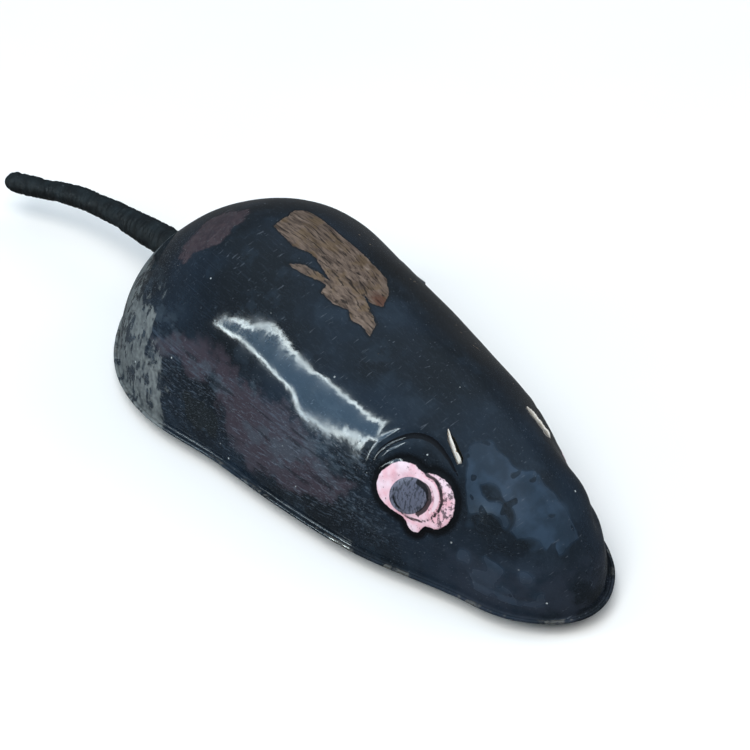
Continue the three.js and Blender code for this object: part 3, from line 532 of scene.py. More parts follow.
def line_distance(px, py, points):
    """Distance to an open line and the fraction of the way along it."""
    best = np.full(px.shape, 1e9)
    along = np.zeros(px.shape)
    for i, (a, b) in enumerate(zip(points, points[1:])):
        distance, t = segment_distance(px, py, a, b)
        nearer = distance < best
        best = np.where(nearer, distance, best)
        along = np.where(nearer, (i + t) / (len(points) - 1), along)
    return best, along


def smooth_through(held, steps):
    """Catmull-Rom curve from the second point up to the last but one."""
    out = []
    for a, b, c, d in zip(held, held[1:], held[2:], held[3:]):
        for i in range(steps):
            t = i / steps
            bow, twist = 2 * a - 5 * b + 4 * c - d, 3 * b - a - 3 * c + d
            out.append(tuple(0.5 * (2 * b + (c - a) * t + bow * t * t + twist * t**3)))
    return out


def smooth_line(points, steps=8):
    held = np.array(points, float)
    held = [2 * held[0] - held[1], *held, 2 * held[-1] - held[-2]]
    return [*smooth_through(held, steps), tuple(held[-2])]


def smooth_loop(points, steps=6):
    return smooth_through(np.array([points[-1], *points, *points[:2]], float), steps)


# Eye plane: centre and the two directions in it, as (u, distance from the middle plane, h).
EYE = np.array((73.2, 11.4, 11.7))
EYE_AXES = np.array(((10.1, -5.1, 3.9), (-2.9, -2.5, 8.7)))
EYE_AXES /= np.linalg.norm(EYE_AXES, axis=1, keepdims=True)
EYE_OUT = np.cross(EYE_AXES[1], EYE_AXES[0])
# The left eye is printed lower and further back than the right one.
LEFT_EYE_DROP = 5.6
LEFT_EYE_BACK = 1.5
PINK_OUTLINE = smooth_loop(
    [
        (-5.95, 1.9), (-5.0, 3.5), (-2.6, 4.6), (-0.4, 4.2), (1.2, 3.0), (3.0, 2.8), (4.8, 1.6), (5.8, -0.3),
        (5.8, -2.2), (4.9, -3.8), (3.2, -4.6), (1.4, -4.2), (0.2, -5.1), (-1.0, -4.6), (-1.6, -3.2),
        (-2.9, -2.3), (-4.5, -1.2), (-5.7, 0.3),
    ]
)
PUPIL_CENTRE = (-0.9, 0.05)
PUPIL_RADII = (3.0, 2.55)
CRESCENT = smooth_line([(0.9, 2.55), (2.6, 1.5), (3.4, -0.2), (3.0, -1.7), (1.9, -2.55)])
EYE_LINES = [
    (smooth_line([(1.5, 2.9), (3.2, 1.9), (4.05, -0.2), (3.7, -1.9), (2.5, -3.1)]), 0.2),
    (smooth_line([(2.3, -3.2), (0.9, -3.5), (-0.9, -3.0), (-2.2, -2.3)]), 0.16),
    (smooth_line([(-3.1, 1.2), (-3.15, -0.3), (-2.4, -1.5), (-1.2, -2.2)]), 0.13),
    (smooth_line([(0.6, 1.9), (1.9, 0.9), (2.2, -0.6), (1.5, -1.8), (0.4, -2.5)]), 0.34),
    (smooth_line([(-3.0, -2.7), (-1.9, -3.6), (-1.3, -4.8), (0.2, -5.6), (1.4, -4.8), (2.4, -4.9)]), 0.3),
]
BROW = [(-7.1, 3.2), (-6.4, 5.2), (-4.9, 6.6), (-2.6, 7.6), (-0.4, 7.8), (2.1, 6.9), (4.5, 4.7), (6.4, 2.2)]
BROW = smooth_line(BROW)
LID = smooth_line([(-6.4, 4.3), (-4.4, 5.6), (-1.8, 5.7), (0.8, 4.6), (3.4, 3.6), (5.6, 2.3)])
NOSTRIL = (87.7, 8.2)
MOUTH = smooth_line([(81.0, 3.3), (86.0, 3.2), (90.5, 2.8), (93.0, 3.2)])
PATCH_OUTLINE = [
    (29.8, -1.7), (29.2, 1.3), (28.2, 2.9), (28.9, 4.6), (31.7, 4.9), (37.2, 4.7), (41.4, 5.1), (46.4, 5.1),
    (49.3, 3.3), (51.1, 0.9), (49.7, -0.1), (47.3, 0.3), (49.8, -0.6), (53.1, -1.7), (54.0, -3.6),
    (52.0, -3.3),
    (50.0, -3.8), (48.7, -3.0), (46.6, -4.0), (43.9, -4.2), (43.9, -2.9), (40.2, -4.3), (36.8, -4.9),
    (39.0, -3.4), (42.5, -2.4), (44.0, -2.3), (40.6, -1.7), (38.4, -1.4), (35.4, -2.4),
]
# Head patches of slate bloom and painted reflection, as (u, x).
BLOOM_AND_REFLECTION_OUTLINES = [
    [(76.4, -5.7), (78.7, -2.5), (81.7, -1.6), (86.2, 1.2), (89.9, 1.2), (91.8, 2.0), (92.6, -1.1),
     (89.9, -3.5),
     (88.0, -6.1), (86.4, -4.7), (83.0, -4.8), (78.6, -6.1)],
    [(79.4, -6.9), (84.3, -5.4), (85.5, -6.0), (83.0, -7.3), (80.6, -8.0)],
    [(81.3, -10.6), (84.6, -8.8), (88.8, -7.8), (92.2, -5.3), (89.0, -8.3), (84.5, -10.3)],
]
RUMP_OUTLINE = [
    (17.5, -9.0), (16.7, -4.2), (19.3, -1.7), (23.4, -0.9), (25.2, -4.5), (25.0, -7.8), (21.0, -10.8),
]
# Worn coat and a dark island on the flanks, as (u, h).
PLUM_OUTLINE = [
    (23.5, 10.8), (31.3, 15.6), (38.3, 14.7), (53.5, 12.9), (63.9, 9.1), (63.4, 7.1), (52.5, 3.3),
    (41.9, 4.1),
    (36.7, 11.0),
]
ISLAND_OUTLINE = [(32.0, 7.6), (35.9, 8.2), (38.7, 5.7), (38.1, 3.7), (33.7, 3.1), (31.6, 4.8)]
# Ear slots: size, lean and each one's place as (u, distance from the middle).
EAR = {"length": 4.4, "width": 0.9, "lean": -0.23}
EAR_PLACES = {1: (76.0, 7.3), -1: (74.9, 5.9)}
# Keyhole as (u, h, radius) and the tail's hole as (x, h, radius).
KEYHOLE = (38.0, 12.0, 3.4)
TAIL_HOLE = (-1.0, 7.0, 1.8)
# Height where the outer wall's grid starts, and the number of its rings up to the spine.
WALL_FOOT = 0.85
WALL_RINGS = 92


def eye_plane(u, x, h):
    """Coordinates in the plane of the nearer eye, and the distance out of it."""
    away = np.stack([u, np.abs(x), h], -1) - EYE
    flat = away @ np.linalg.pinv(EYE_AXES)
    left = x > 0
    return flat[..., 0] + LEFT_EYE_BACK * left, flat[..., 1] + LEFT_EYE_DROP * left, away @ EYE_OUT


def hump(distance, width):
    return np.exp(-((distance / width) ** 2))


def fade_ends(along, end=0.02):
    return np.sin(np.pi * np.clip(along, end, 1 - end)) ** 0.6


def pupil_reach(p, q):
    """Distance from the pupil's centre, 1 at its edge."""
    return np.hypot((p - PUPIL_CENTRE[0]) / PUPIL_RADII[0], (q - PUPIL_CENTRE[1]) / PUPIL_RADII[1])


def pressed_in(distance, softness):
    """1 inside an outline and 0 outside, with a soft edge."""
    return 1 / (1 + np.exp(np.clip(distance / softness, -30, 30)))


def wobble(points, scale, offset):
    return np.array([noise.noise(Vector(p) * scale + Vector((offset, offset, offset))) for p in points])


# Broad forms of the pressing and later dents: (u, side, h, height, width).
SWELLINGS = [
    (86.0, 6.4, 12.0, 0.6, 3.6),
    (79.8, 9.2, 12.6, -0.25, 3.2),
    (91.5, 5.2, 6.4, 0.35, 2.6),
    (68.0, 9.5, 17.0, 0.2, 4.0),
]
# Shoulder of the flanks, which shapes long reflections: (u, h, reach along, reach up, height).
SHOULDERS = [(51.0, 17.0, 6.5, 7.0, 0.35), (22.5, 15.0, 6.0, 8.0, -0.35)]


def eye_relief(p, q):
    """Pressed form of an eye: sunken socket, domed pupil, raised crescent, lid and brow."""
    pink = polygon_distance(p, q, PINK_OUTLINE)
    ellipse = pupil_reach(p, q)
    out = -0.2 * hump(pink - 0.7, 0.6)
    out += 0.08 * pressed_in(pink, 0.15)
    out += 0.26 * np.sqrt(np.clip(1 - ellipse**2, 0, 1))
    out -= 0.08 * hump(ellipse - 1.1, 0.08)
    ridge, along = line_distance(p, q, CRESCENT)
    out += 0.2 * hump(ridge, 0.3) * fade_ends(along)
    for points, width in EYE_LINES:
        out -= 0.12 * hump(line_distance(p, q, points)[0], width)
    brow, along = line_distance(p, q, BROW)
    out += (0.1 * hump(brow - 1.0, 0.9) - 0.2 * hump(brow, 0.4)) * fade_ends(along)
    lid, along = line_distance(p, q, LID)
    out += 0.1 * hump(lid, 0.7) * fade_ends(along)
    return out


def relief(u, x, h):
    """Height of the pressed and dented forms above the smooth body, in millimetres."""
    p, q, depth = eye_plane(u, x, h)
    out = eye_relief(p, q) * hump(depth, 7)
    side = np.abs(x)
    front = side > 3.0
    along_u, along_h = u - NOSTRIL[0], h - NOSTRIL[1] + 0.18 * (u - NOSTRIL[0])
    out -= 0.38 * front * hump(along_u, 2.3) * hump(along_h, 0.85)
    out += 0.2 * front * hump(along_u, 2.6) * hump(along_h + 1.7, 0.8)
    mouth, along = line_distance(u, h, MOUTH)
    out -= 0.2 * hump(mouth, 0.45) * fade_ends(along) * front
    for cu, cx, ch, size, width in SWELLINGS:
        out += size * hump(np.sqrt((u - cu) ** 2 + (side - cx) ** 2 + (h - ch) ** 2), width)
    for cu, ch, reach_u, reach_h, size in SHOULDERS:
        out += size * hump(u - cu, reach_u) * hump(h - ch, reach_h)
    collar = np.hypot(u - KEYHOLE[0], h - KEYHOLE[1]) - KEYHOLE[2]
    out += 0.12 * hump(collar - 0.6, 0.4) * (x > 5)
    points = np.stack([u, x, h], -1)
    calm = 1 - 0.75 * hump(u - 50, 22) * (x < -4)
    out += calm * 0.16 * wobble(points, 0.075, 3.1)
    out += calm * 0.05 * wobble(points, 0.22, 7.7) + 0.004 * wobble(points, 0.7, 1.3)
    patch = polygon_distance(u, x, PATCH_OUTLINE)
    out -= 0.07 * pressed_in(patch, 0.1) * (h > 10)
    return out * np.clip((h - 0.9) / 1.2, 0, 1)


# Parts of the half rim beside the bare patch and the eyes, with closer points, and the two spacings.
FINE_PARTS = ((0.36, 0.55), (0.60, 0.77))
FINE_STEP = 0.003
COARSE_STEP = 0.0078


def rim_places():
    """Fractions of the way round half the rim for the columns of the shell's grid."""
    steps = []
    at = 0.0
    while at < 1:
        steps.append(at)
        at += FINE_STEP if any(a < at < b for a, b in FINE_PARTS) else COARSE_STEP
    return np.array([*steps[:-1], 1.0])


def shell_rows():
    """Rows of outer-wall points from just above the flange to the spine, as (u, x, h) grids."""
    along = rim_places()
    s = (1 - np.cos(np.pi * along)) / 2
    s = np.concatenate([s, s[-2:0:-1]])
    side = np.concatenate([np.ones(len(along)), -np.ones(len(along) - 2)])
    rim_u = s * BODY_LENGTH
    rim_x = side * section_value(s, 1)
    spine = np.clip(rim_u, *SPINE)

    def at(turn):
        spread = np.cos(turn) ** (2 / POWER)
        u = spine + (rim_u - spine) * spread
        x = rim_x * spread
        return u, x, surface_height(u, x)

    low = np.full(rim_u.shape, 1e-4)
    high = np.full(rim_u.shape, 0.5)
    for _ in range(30):
        middle = (low + high) / 2
        short = at(middle)[2] < WALL_FOOT
        low = np.where(short, middle, low)
        high = np.where(short, high, middle)
    rows = [at(low + (np.pi / 2 - low) * j / WALL_RINGS) for j in range(WALL_RINGS)]
    flat = np.zeros(rim_u.shape)
    rows.append((spine, flat, surface_height(spine, flat)))
    return rim_u, rim_x, rows


def shell_mesh():
    """The pressed shell: outer wall, rolled flange and inner wall, with its openings cut."""
    rim_u, rim_x, rows = shell_rows()
    count = len(rim_u)
    rim = np.stack([rim_x, REAR_Y - rim_u], -1)
    ahead = np.roll(rim, -1, 0) - np.roll(rim, 1, 0)
    ahead /= np.linalg.norm(ahead, axis=1, keepdims=True)
    outward = np.stack([-ahead[:, 1], ahead[:, 0]], -1)
    outer, inner = [], []
    for u, x, h in rows:
        normal = surface_normal(u, x, h)
        base = np.stack([x, REAR_Y - u, RIM_Z + h], -1)
        lift = relief(u, x, h)[:, None]
        outer.append(base + normal * lift)
        inner.append(base + normal * (lift - TIN))
    wave = wobble(np.stack([rim_u, rim_x, np.zeros(count)], -1), 0.3, 5.5)

    def ring(offset, height, share=1.0):
        out = rim + outward * (offset + 0.06 * wave[:, None] * share)
        return np.column_stack([out, np.full(count, RIM_Z + height) + 0.05 * wave * share * (height > 0.05)])

    bead = 0.28
    middle = FLANGE - bead - 0.04
    lip = []
    for k in range(10):
        angle = math.radians(-90 + 26 * k)
        lip.append(ring(middle + bead * math.cos(angle), bead + bead * math.sin(angle)))
    flange = [ring(-TIN, 0.35, 0), ring(-TIN + 0.1, 0.08, 0), ring(-0.12, 0.0, 0), ring(0.3, 0.0, 0)]
    fillet = [ring(0.3, 0.36, 0.5), ring(0.16, 0.42, 0.3), ring(0.05, 0.56, 0)]
    body = [*inner[::-1], *flange, *lip, *fillet, *outer]
    inside = len(inner)
    kinds = []
    for j in range(len(body) - 1):
        kinds += [1 if j < inside + 1 else 0] * count
    points = np.concatenate(body)
    return points, grid_faces(len(body), count), kinds


def prism(points, depth, axes):
    """A closed prism over an outline; axes maps (a, b, along) to frame millimetres."""
    n = len(points)
    out = [axes(a, b, end) for end in depth for a, b in points]
    faces = [tuple(range(n))[::-1], tuple(range(n, 2 * n))]
    faces += [(k, (k + 1) % n, n + (k + 1) % n, n + k) for k in range(n)]
    return out, faces


def circle(radius, count=48):
    angles = [2 * math.pi * k / count for k in range(count)]
    return [(radius * math.cos(angle), radius * math.sin(angle)) for angle in angles]


def ear_spot(side, a, b):
    """Frame x and y at a across and b along an ear's slot, which runs outwards towards the nose."""
    u, x = EAR_PLACES[side]
    turn = -side * EAR["lean"]
    across = a * math.cos(turn) - b * math.sin(turn)
    along = a * math.sin(turn) + b * math.cos(turn)
    return side * x + across, REAR_Y - u + along


def shell_cutters():
    """Closed prisms to cut the keyhole, the tail's hole and the two ear slots."""
    u, h, radius = KEYHOLE
    yield prism(circle(radius), (10, 26), lambda a, b, e: (e, REAR_Y - u + a, RIM_Z + h + b))
    x, height, hole = TAIL_HOLE
    yield prism(circle(hole), (REAR_Y - 6, REAR_Y + 4), lambda a, b, e: (x + a, e, RIM_Z + height + b))
    half, reach = EAR["width"] / 2, EAR["length"] / 2
    slit = [(0, reach), (half, reach - 1.5), (half, 0.3 - reach)]
    slit += [(0.1, -reach), (-half, 0.4 - reach), (-half, reach - 1.2)]
    for side in EAR_PLACES:
        yield prism(slit, (12, 27), lambda a, b, e, side=side: (*ear_spot(side, a, b), RIM_Z + e))


def build_shell():
    bare = LOOKS["inside"]
    points, faces, kinds = shell_mesh()
    shell = mesh_object("tin_shell", points, faces, [LOOKS["enamel"], bare], kinds=kinds)
    cutters = []
    for i, (cut_points, cut_faces) in enumerate(shell_cutters()):
        cutter = mesh_object(f"cutter_{i}", cut_points, cut_faces, [bare, bare])
        cutter.data.polygons.foreach_set("material_index", [1] * len(cutter.data.polygons))
        cut = shell.modifiers.new(f"cut_{i}", "BOOLEAN")
        cut.object = cutter
        cut.operation = "DIFFERENCE"
        cut.solver = "EXACT"
        cutters.append(cutter)
    bpy.context.view_layer.update()
    pierced = bpy.data.meshes.new_from_object(shell.evaluated_get(bpy.context.evaluated_depsgraph_get()))
    shell.modifiers.clear()
    shell.data = pierced
    for cutter in cutters:
        bpy.data.objects.remove(cutter)
    pierced.shade_smooth()
    pierced.set_sharp_from_angle(angle=math.radians(42))
    paint_places(pierced)
    settle(shell, "chassis", "body_shell", "enamel")


def paint_places(mesh):
    """Per-vertex distances that the paint reads, in millimetres."""
    co = np.zeros(len(mesh.vertices) * 3)
    mesh.vertices.foreach_get("co", co)
    co = co.reshape(-1, 3) / MM
    u, x, h = REAR_Y - co[:, 1], co[:, 0], co[:, 2] - RIM_Z
    p, q, depth = eye_plane(u, x, h)
    far = np.clip(np.abs(depth) - 6, 0, None) * 3
    # The upper edge of the left eye's ring has rubbed away.
    worn_top = (q - LEFT_EYE_DROP) + 3.4 + 0.5 * (p - LEFT_EYE_BACK)
    ellipse = pupil_reach(p, q)
    ridge, along = line_distance(p, q, CRESCENT)
    taper = 0.34 * fade_ends(along, 0.03)
    dark = np.full(u.shape, 1e3)
    for points, width in EYE_LINES:
        dark = np.minimum(dark, line_distance(p, q, points)[0] - width * 1.05)
    brow, along = line_distance(p, q, BROW)
    dark = np.minimum(dark, brow - 0.36 * fade_ends(along))
    high = np.where(h > 9, 0, 40)
    bloom_and_painted_reflection = np.full(u.shape, 1e3)
    for outline in BLOOM_AND_REFLECTION_OUTLINES:
        bloom_and_painted_reflection = np.minimum(bloom_and_painted_reflection, polygon_distance(u, x, outline))
    half = np.maximum(section_value(np.clip(u, 0.5, 94.5) / BODY_LENGTH, 1), 1)
    lip = (np.hypot(u - np.clip(u, 1, 94), np.abs(x)) - half) / FLANGE
    lip = np.where(h < 0.75, np.maximum(lip, 0), 0)
    # Rear band of dull film and painted sheen.
    rear = np.hypot(np.clip(22 - u, 0, None), x)
    film_and_painted_sheen = np.where(u < 22, 16.0 - rear, 20.0 - np.abs(x)) + np.clip(u - 26, 0, None) * 0.9
    values = {
        "pink": np.maximum(polygon_distance(p, q, PINK_OUTLINE), np.where(x > 0, worn_top, -1e3)) + far,
        "pupil": (ellipse - 1) * min(PUPIL_RADII) + far,
        "crescent": ridge - taper + far,
        "line": dark + far,
        "patch": polygon_distance(u, x, PATCH_OUTLINE) + high,
        "rust": np.hypot(u - 50.3, (x - 1.4) * 1.6) + high,
        "bloom_and_painted_reflection": bloom_and_painted_reflection + np.where(h > 2, 0, 40),
        "rump": polygon_distance(u, x, RUMP_OUTLINE) + high,
        "film_and_painted_sheen": film_and_painted_sheen,
        "plum": polygon_distance(u, h, PLUM_OUTLINE),
        "island": polygon_distance(u, h, ISLAND_OUTLINE),
        "eye_along": p + far,
        "lip": lip,
    }
    for name, value in values.items():
        made = mesh.attributes.new(name, "FLOAT", "POINT")
        made.data.foreach_set("value", value.astype(np.float32))


# ---------- tail ----------
# Points from the shell's rear rim as (x, back, h), and (distance along, radius) pairs.
TAIL_PATH = [
    (-1.0, -5.2, 7.0), (-1.0, -1.5, 7.0), (-1.6, 4.5, 6.7), (-2.2, 11.5, 6.1), (-3.5, 18.5, 5.5),
    (-6.0, 25.0, 4.8),
    (-8.8, 31.75, 4.0),
]
TAIL_RADII = [
    (0, 1.9), (0.4, 2.55), (1.3, 2.55), (1.4, 1.5), (4.7, 1.5), (4.9, 2.25), (7, 2.25), (12, 1.95), (18, 1.7),
    (25, 1.58), (32, 1.5), (35, 1.52), (36.6, 1.62), (37.8, 1.3), (38.4, 0.75), (38.6, 0.2),
]


# The neck in the hole, and the shoulder that bears on the shell outside it.
NECK_RADIUS = 1.5
SHOULDER_RADIUS = 2.3


def lerp(t, start, end, a, b):
    return ((end - t) * a + (t - start) * b) / (end - start)


def catmull_rom(points, steps=60):
    """Centripetal Catmull-Rom curve, closely sampled."""
    held = [np.array(p, float) for p in points]
    held = [2 * held[0] - held[1], *held, 2 * held[-1] - held[-2]]
    out = []
    for p0, p1, p2, p3 in zip(held, held[1:], held[2:], held[3:]):
        knots = [0.0]
        for a, b in ((p0, p1), (p1, p2), (p2, p3)):
            knots.append(knots[-1] + math.sqrt(np.linalg.norm(b - a)))
        t0, t1, t2, t3 = knots
        for i in range(steps):
            t = t1 + (t2 - t1) * i / steps
            a1, a2, a3 = lerp(t, t0, t1, p0, p1), lerp(t, t1, t2, p1, p2), lerp(t, t2, t3, p2, p3)
            b1, b2 = lerp(t, t0, t2, a1, a2), lerp(t, t1, t3, a2, a3)
            out.append(lerp(t, t1, t2, b1, b2))
    out.append(held[-2])
    return np.array(out)


def build_tail():
    path = catmull_rom([(x, REAR_Y + back, RIM_Z + h) for x, back, h in TAIL_PATH])
    gaps = np.linalg.norm(np.diff(path, axis=0), axis=1)
    reach = np.concatenate([[0], np.cumsum(gaps)])
    marks, radii = np.array(TAIL_RADII).T
    marks = marks * reach[-1] / marks[-1]
    circles, sides = 300, 40
    points = []

    def spot(distance):
        held = min(max(distance, 0), reach[-1])
        return np.array([np.interp(held, reach, path[:, c]) for c in range(3)])

    for j in range(circles + 1):
        distance = reach[-1] * j / circles
        at = spot(distance)
        along = spot(distance + 0.2) - spot(distance - 0.2)
        across = np.cross(along, (0, 0, 1))
        across /= np.linalg.norm(across)
        up = np.cross(across, along) / np.linalg.norm(along)
        radius = np.interp(distance, marks, radii)
        shown = min(max((distance - 3) / 1.5, 0), 1) * min(reach[-1] - distance, 1)
        for k in range(sides):
            angle = 2 * math.pi * k / sides
            c, s = math.cos(angle), math.sin(angle)
            ray = across * c + up * s
            if 1.4 < distance < 6:
                out = at + ray * SHOULDER_RADIUS
                u, h = REAR_Y - out[1], out[2] - RIM_Z
                clear = u < 0 or h > float(surface_height(np.array(u), np.array(out[0]))) + 0.08
                radius = SHOULDER_RADIUS if clear else NECK_RADIUS
            ribs = noise.noise(Vector((distance * 1.35, c * 0.55, s * 0.55)))
            lumps = noise.noise(Vector((distance * 0.4 + 9, c * 0.9, s * 0.9)))
            fine = noise.noise(Vector((distance * 3.1 + 4, c * 1.6, s * 1.6)))
            lift = shown * (0.13 * (0.5 - 2 * abs(ribs)) + 0.12 * lumps + 0.04 * fine)
            points.append(at + ray * (radius + lift))
    faces = grid_faces(circles + 1, sides)
    faces += [tuple(range(sides))[::-1], tuple(range(circles * sides, (circles + 1) * sides))]
    settle(mesh_object("rubber_tail", points, faces, [LOOKS["tail"]], sharp=70), "chassis", "tail", "rubber")


# ---------- ears ----------
def build_ear(side, word):
    """What is left of a leather ear in its slot: a thin leaf torn off just above the tin."""
    rows, columns = 14, 30
    ear_u, ear_x = EAR_PLACES[side]
    half = EAR["length"] / 2 - 0.3
    points = []
    for face in (1, -1):
        for j in range(rows + 1):
            up = j / rows
            for k in range(columns + 1):
                along = -half + 2 * half * k / columns
                torn = 0.3 * noise.noise(Vector((along * 1.3, side * 4.0, 0.5)))
                torn += 0.15 * noise.noise(Vector((along * 5, side, 2)))
                top = surface_height(np.array(ear_u - along), np.array(ear_x + EAR["lean"] * along))
                thin = 0.19 * (1 - 0.6 * max(along - half + 1.4, 0) / 1.4) * (1 - 0.35 * up**6)
                bend = 0.1 * math.sin(along * 1.1 + side) * up
                h = float(top) + 0.3 + torn - 2.4 * (1 - up)
                points.append((*ear_spot(side, face * thin + bend, along), RIM_Z + h))
    width = columns + 1
    size = len(points) // 2
    front = grid_faces(rows + 1, width, wrap=False)
    faces = front + [tuple(size + i for i in face[::-1]) for face in front]
    edge = list(range(width)) + [j * width + columns for j in range(1, rows + 1)]
    edge += [rows * width + k for k in range(columns - 1, -1, -1)]
    edge += [j * width for j in range(rows - 1, 0, -1)]
    faces += [(a, b, size + b, size + a) for a, b in zip(edge, edge[1:] + edge[:1])]
    ear = mesh_object(f"{word}_torn_ear", points, faces, [LOOKS["leather"]], sharp=50)
    settle(ear, "chassis", f"{word}_ear_stub", "leather")


# ---------- clockwork ----------
def build_spring():
    """The mainspring's ribbon, from the arbor to its hook round the pillar."""
    at = centre("winding_arbor")
    pillar = centre("spring_pillar")
    end = math.atan2(pillar.z - at.z, pillar.y - at.y)
    reach = math.hypot(pillar.y - at.y, pillar.z - at.z)
    first, last = ends("mainspring")
    turns, inner, outer = 5.5, 2.2, 9.4
    steps = int(turns * 72)
    line = []
    for i in range(steps + 1):
        angle = end - turns * 2 * math.pi * (steps - i) / steps - 0.5
        line.append((inner + (outer - inner) * i / steps, angle))
    line = [(r * math.cos(a), r * math.sin(a)) for r, a in line]
    hook = [(reach - 2.2, end - 0.2), (reach - 1.7, end)]
    hook += [(reach - 1.2, end + 0.11), (reach + 0.2, end + 0.14)]
    line += smooth_line([line[-1]] + [(r * math.cos(a), r * math.sin(a)) for r, a in hook], 8)[1:]
    line = np.array(line)
    ahead = np.gradient(line, axis=0)
    ahead /= np.linalg.norm(ahead, axis=1, keepdims=True)
    side = np.stack([-ahead[:, 1], ahead[:, 0]], -1)
    section = rounded([(0.0, 0.19), (1.0, 0.19), (1.0, -0.19), (0.0, -0.19), (0.0, 0.19)], 0.06, 3)[:-1]
    points = []
    for place, out in zip(line, side):
        for share, across in section:
            y, z = place + out * across
            points.append((first + (last - first) * share, at.y + y, at.z + z))
    count = len(section)
    faces = grid_faces(len(line), count)
    faces += [tuple(range(count))[::-1], tuple(range((len(line) - 1) * count, len(line) * count))]
    spring = mesh_object("mainspring_ribbon", points, faces, [LOOKS["blued_spring"]], sharp=35)
    settle(spring, "chassis", "mainspring", "blued_spring")


def build_square_arbor():
    """Winding arbor: turned shaft with a squared end for the key."""
    at = centre("great_wheel")
    at.x = 0
    start, end = ends("winding_arbor")
    shaft = [(start, 0), (start, 0.7), (start + 0.1, 0.75), (-7.0, 0.75), (-7.0, 1.6), (7.0, 1.6), (7.0, 1.4)]
    shaft = rounded([*shaft, (9.4, 1.4), (9.4, 0)], 0.06)
    points = rings(shaft, 48, at)
    faces = grid_faces(len(shaft), 48)
    corners = [(1.2, 0.0), (1.2, 1.2), (-1.2, 1.2), (-1.2, -1.2), (1.2, -1.2), (1.2, 0.0)]
    corners = rounded(corners, 0.14)[:-1]
    levels = [(9.0, 1.0), (end - 0.25, 1.0), (end - 0.08, 0.95), (end, 0.82)]
    first, count = len(points), len(corners)
    for along, share in levels:
        points += [(along, at.y + a * share, at.z + b * share) for a, b in corners]
    faces += [tuple(first + i for i in face) for face in grid_faces(len(levels), count)]
    faces += [tuple(range(first, first + count))[::-1], tuple(range(len(points) - count, len(points)))]
    arbor = mesh_object("winding_shaft", points, faces, [LOOKS["steel"]], sharp=30)
    settle(arbor, "winding_parts", "winding_arbor", "steel")


# Halves of the profiles that are the same at both ends, and whole profiles, as (x, radius).
INTERMEDIATE_HALF = [(6.95, 1.0), (6.95, 0.75), (8.3, 0.75), (8.3, 0)]
CLICK_RIVET = [
    (-6.0, 0), (-6.0, 0.55), (-5.7, 0.85), (-5.63, 0.88), (-5.63, 0.5), (-3.67, 0.5), (-3.67, 0.85),
    (-3.45, 0.7), (-3.3, 0.4), (-3.3, 0),
]
DRIVE_WHEEL = [
    (10.0, 0.93), (10.0, 2.05), (10.3, 2.2), (11.2, 2.2), (11.55, 4.5), (10.5, 5.3), (10.4, 5.6),
    (10.4, 6.47),
    (13.4, 6.47), (13.4, 5.7), (13.2, 5.45), (12.5, 4.6), (12.2, 2.3), (13.5, 2.1), (13.7, 1.9), (13.7, 0.93),
    (10.0, 0.93),
]
TYRE = [
    (10.4, 6.5), (10.4, 7.35), (10.62, 7.8), (11.0, 7.98), (11.25, 7.98), (11.35, 7.8), (11.6, 7.8),
    (11.7, 8.0),
    (12.1, 8.0), (12.2, 7.8), (12.45, 7.8), (12.55, 7.98), (12.8, 7.98), (13.18, 7.8), (13.4, 7.35),
    (13.4, 6.5),
    (10.4, 6.5),
]
TREAD_RADIUS = 7.9
ROLLER_HALF = [
    (1.4, 4.5), (1.75, 4.2), (1.8, 3.95), (1.7, 3.75), (1.3, 3.35), (1.3, 2.35), (1.65, 2.1), (1.8, 1.9),
    (1.8, 0.95),
]
PLATE_SHOULDER = 7.17


def tread_ribs(r, k):
    """Grooves across a tyre's tread, one for every fourth column of points."""
    return -0.09 if r > TREAD_RADIUS and k % 4 == 0 else 0.0


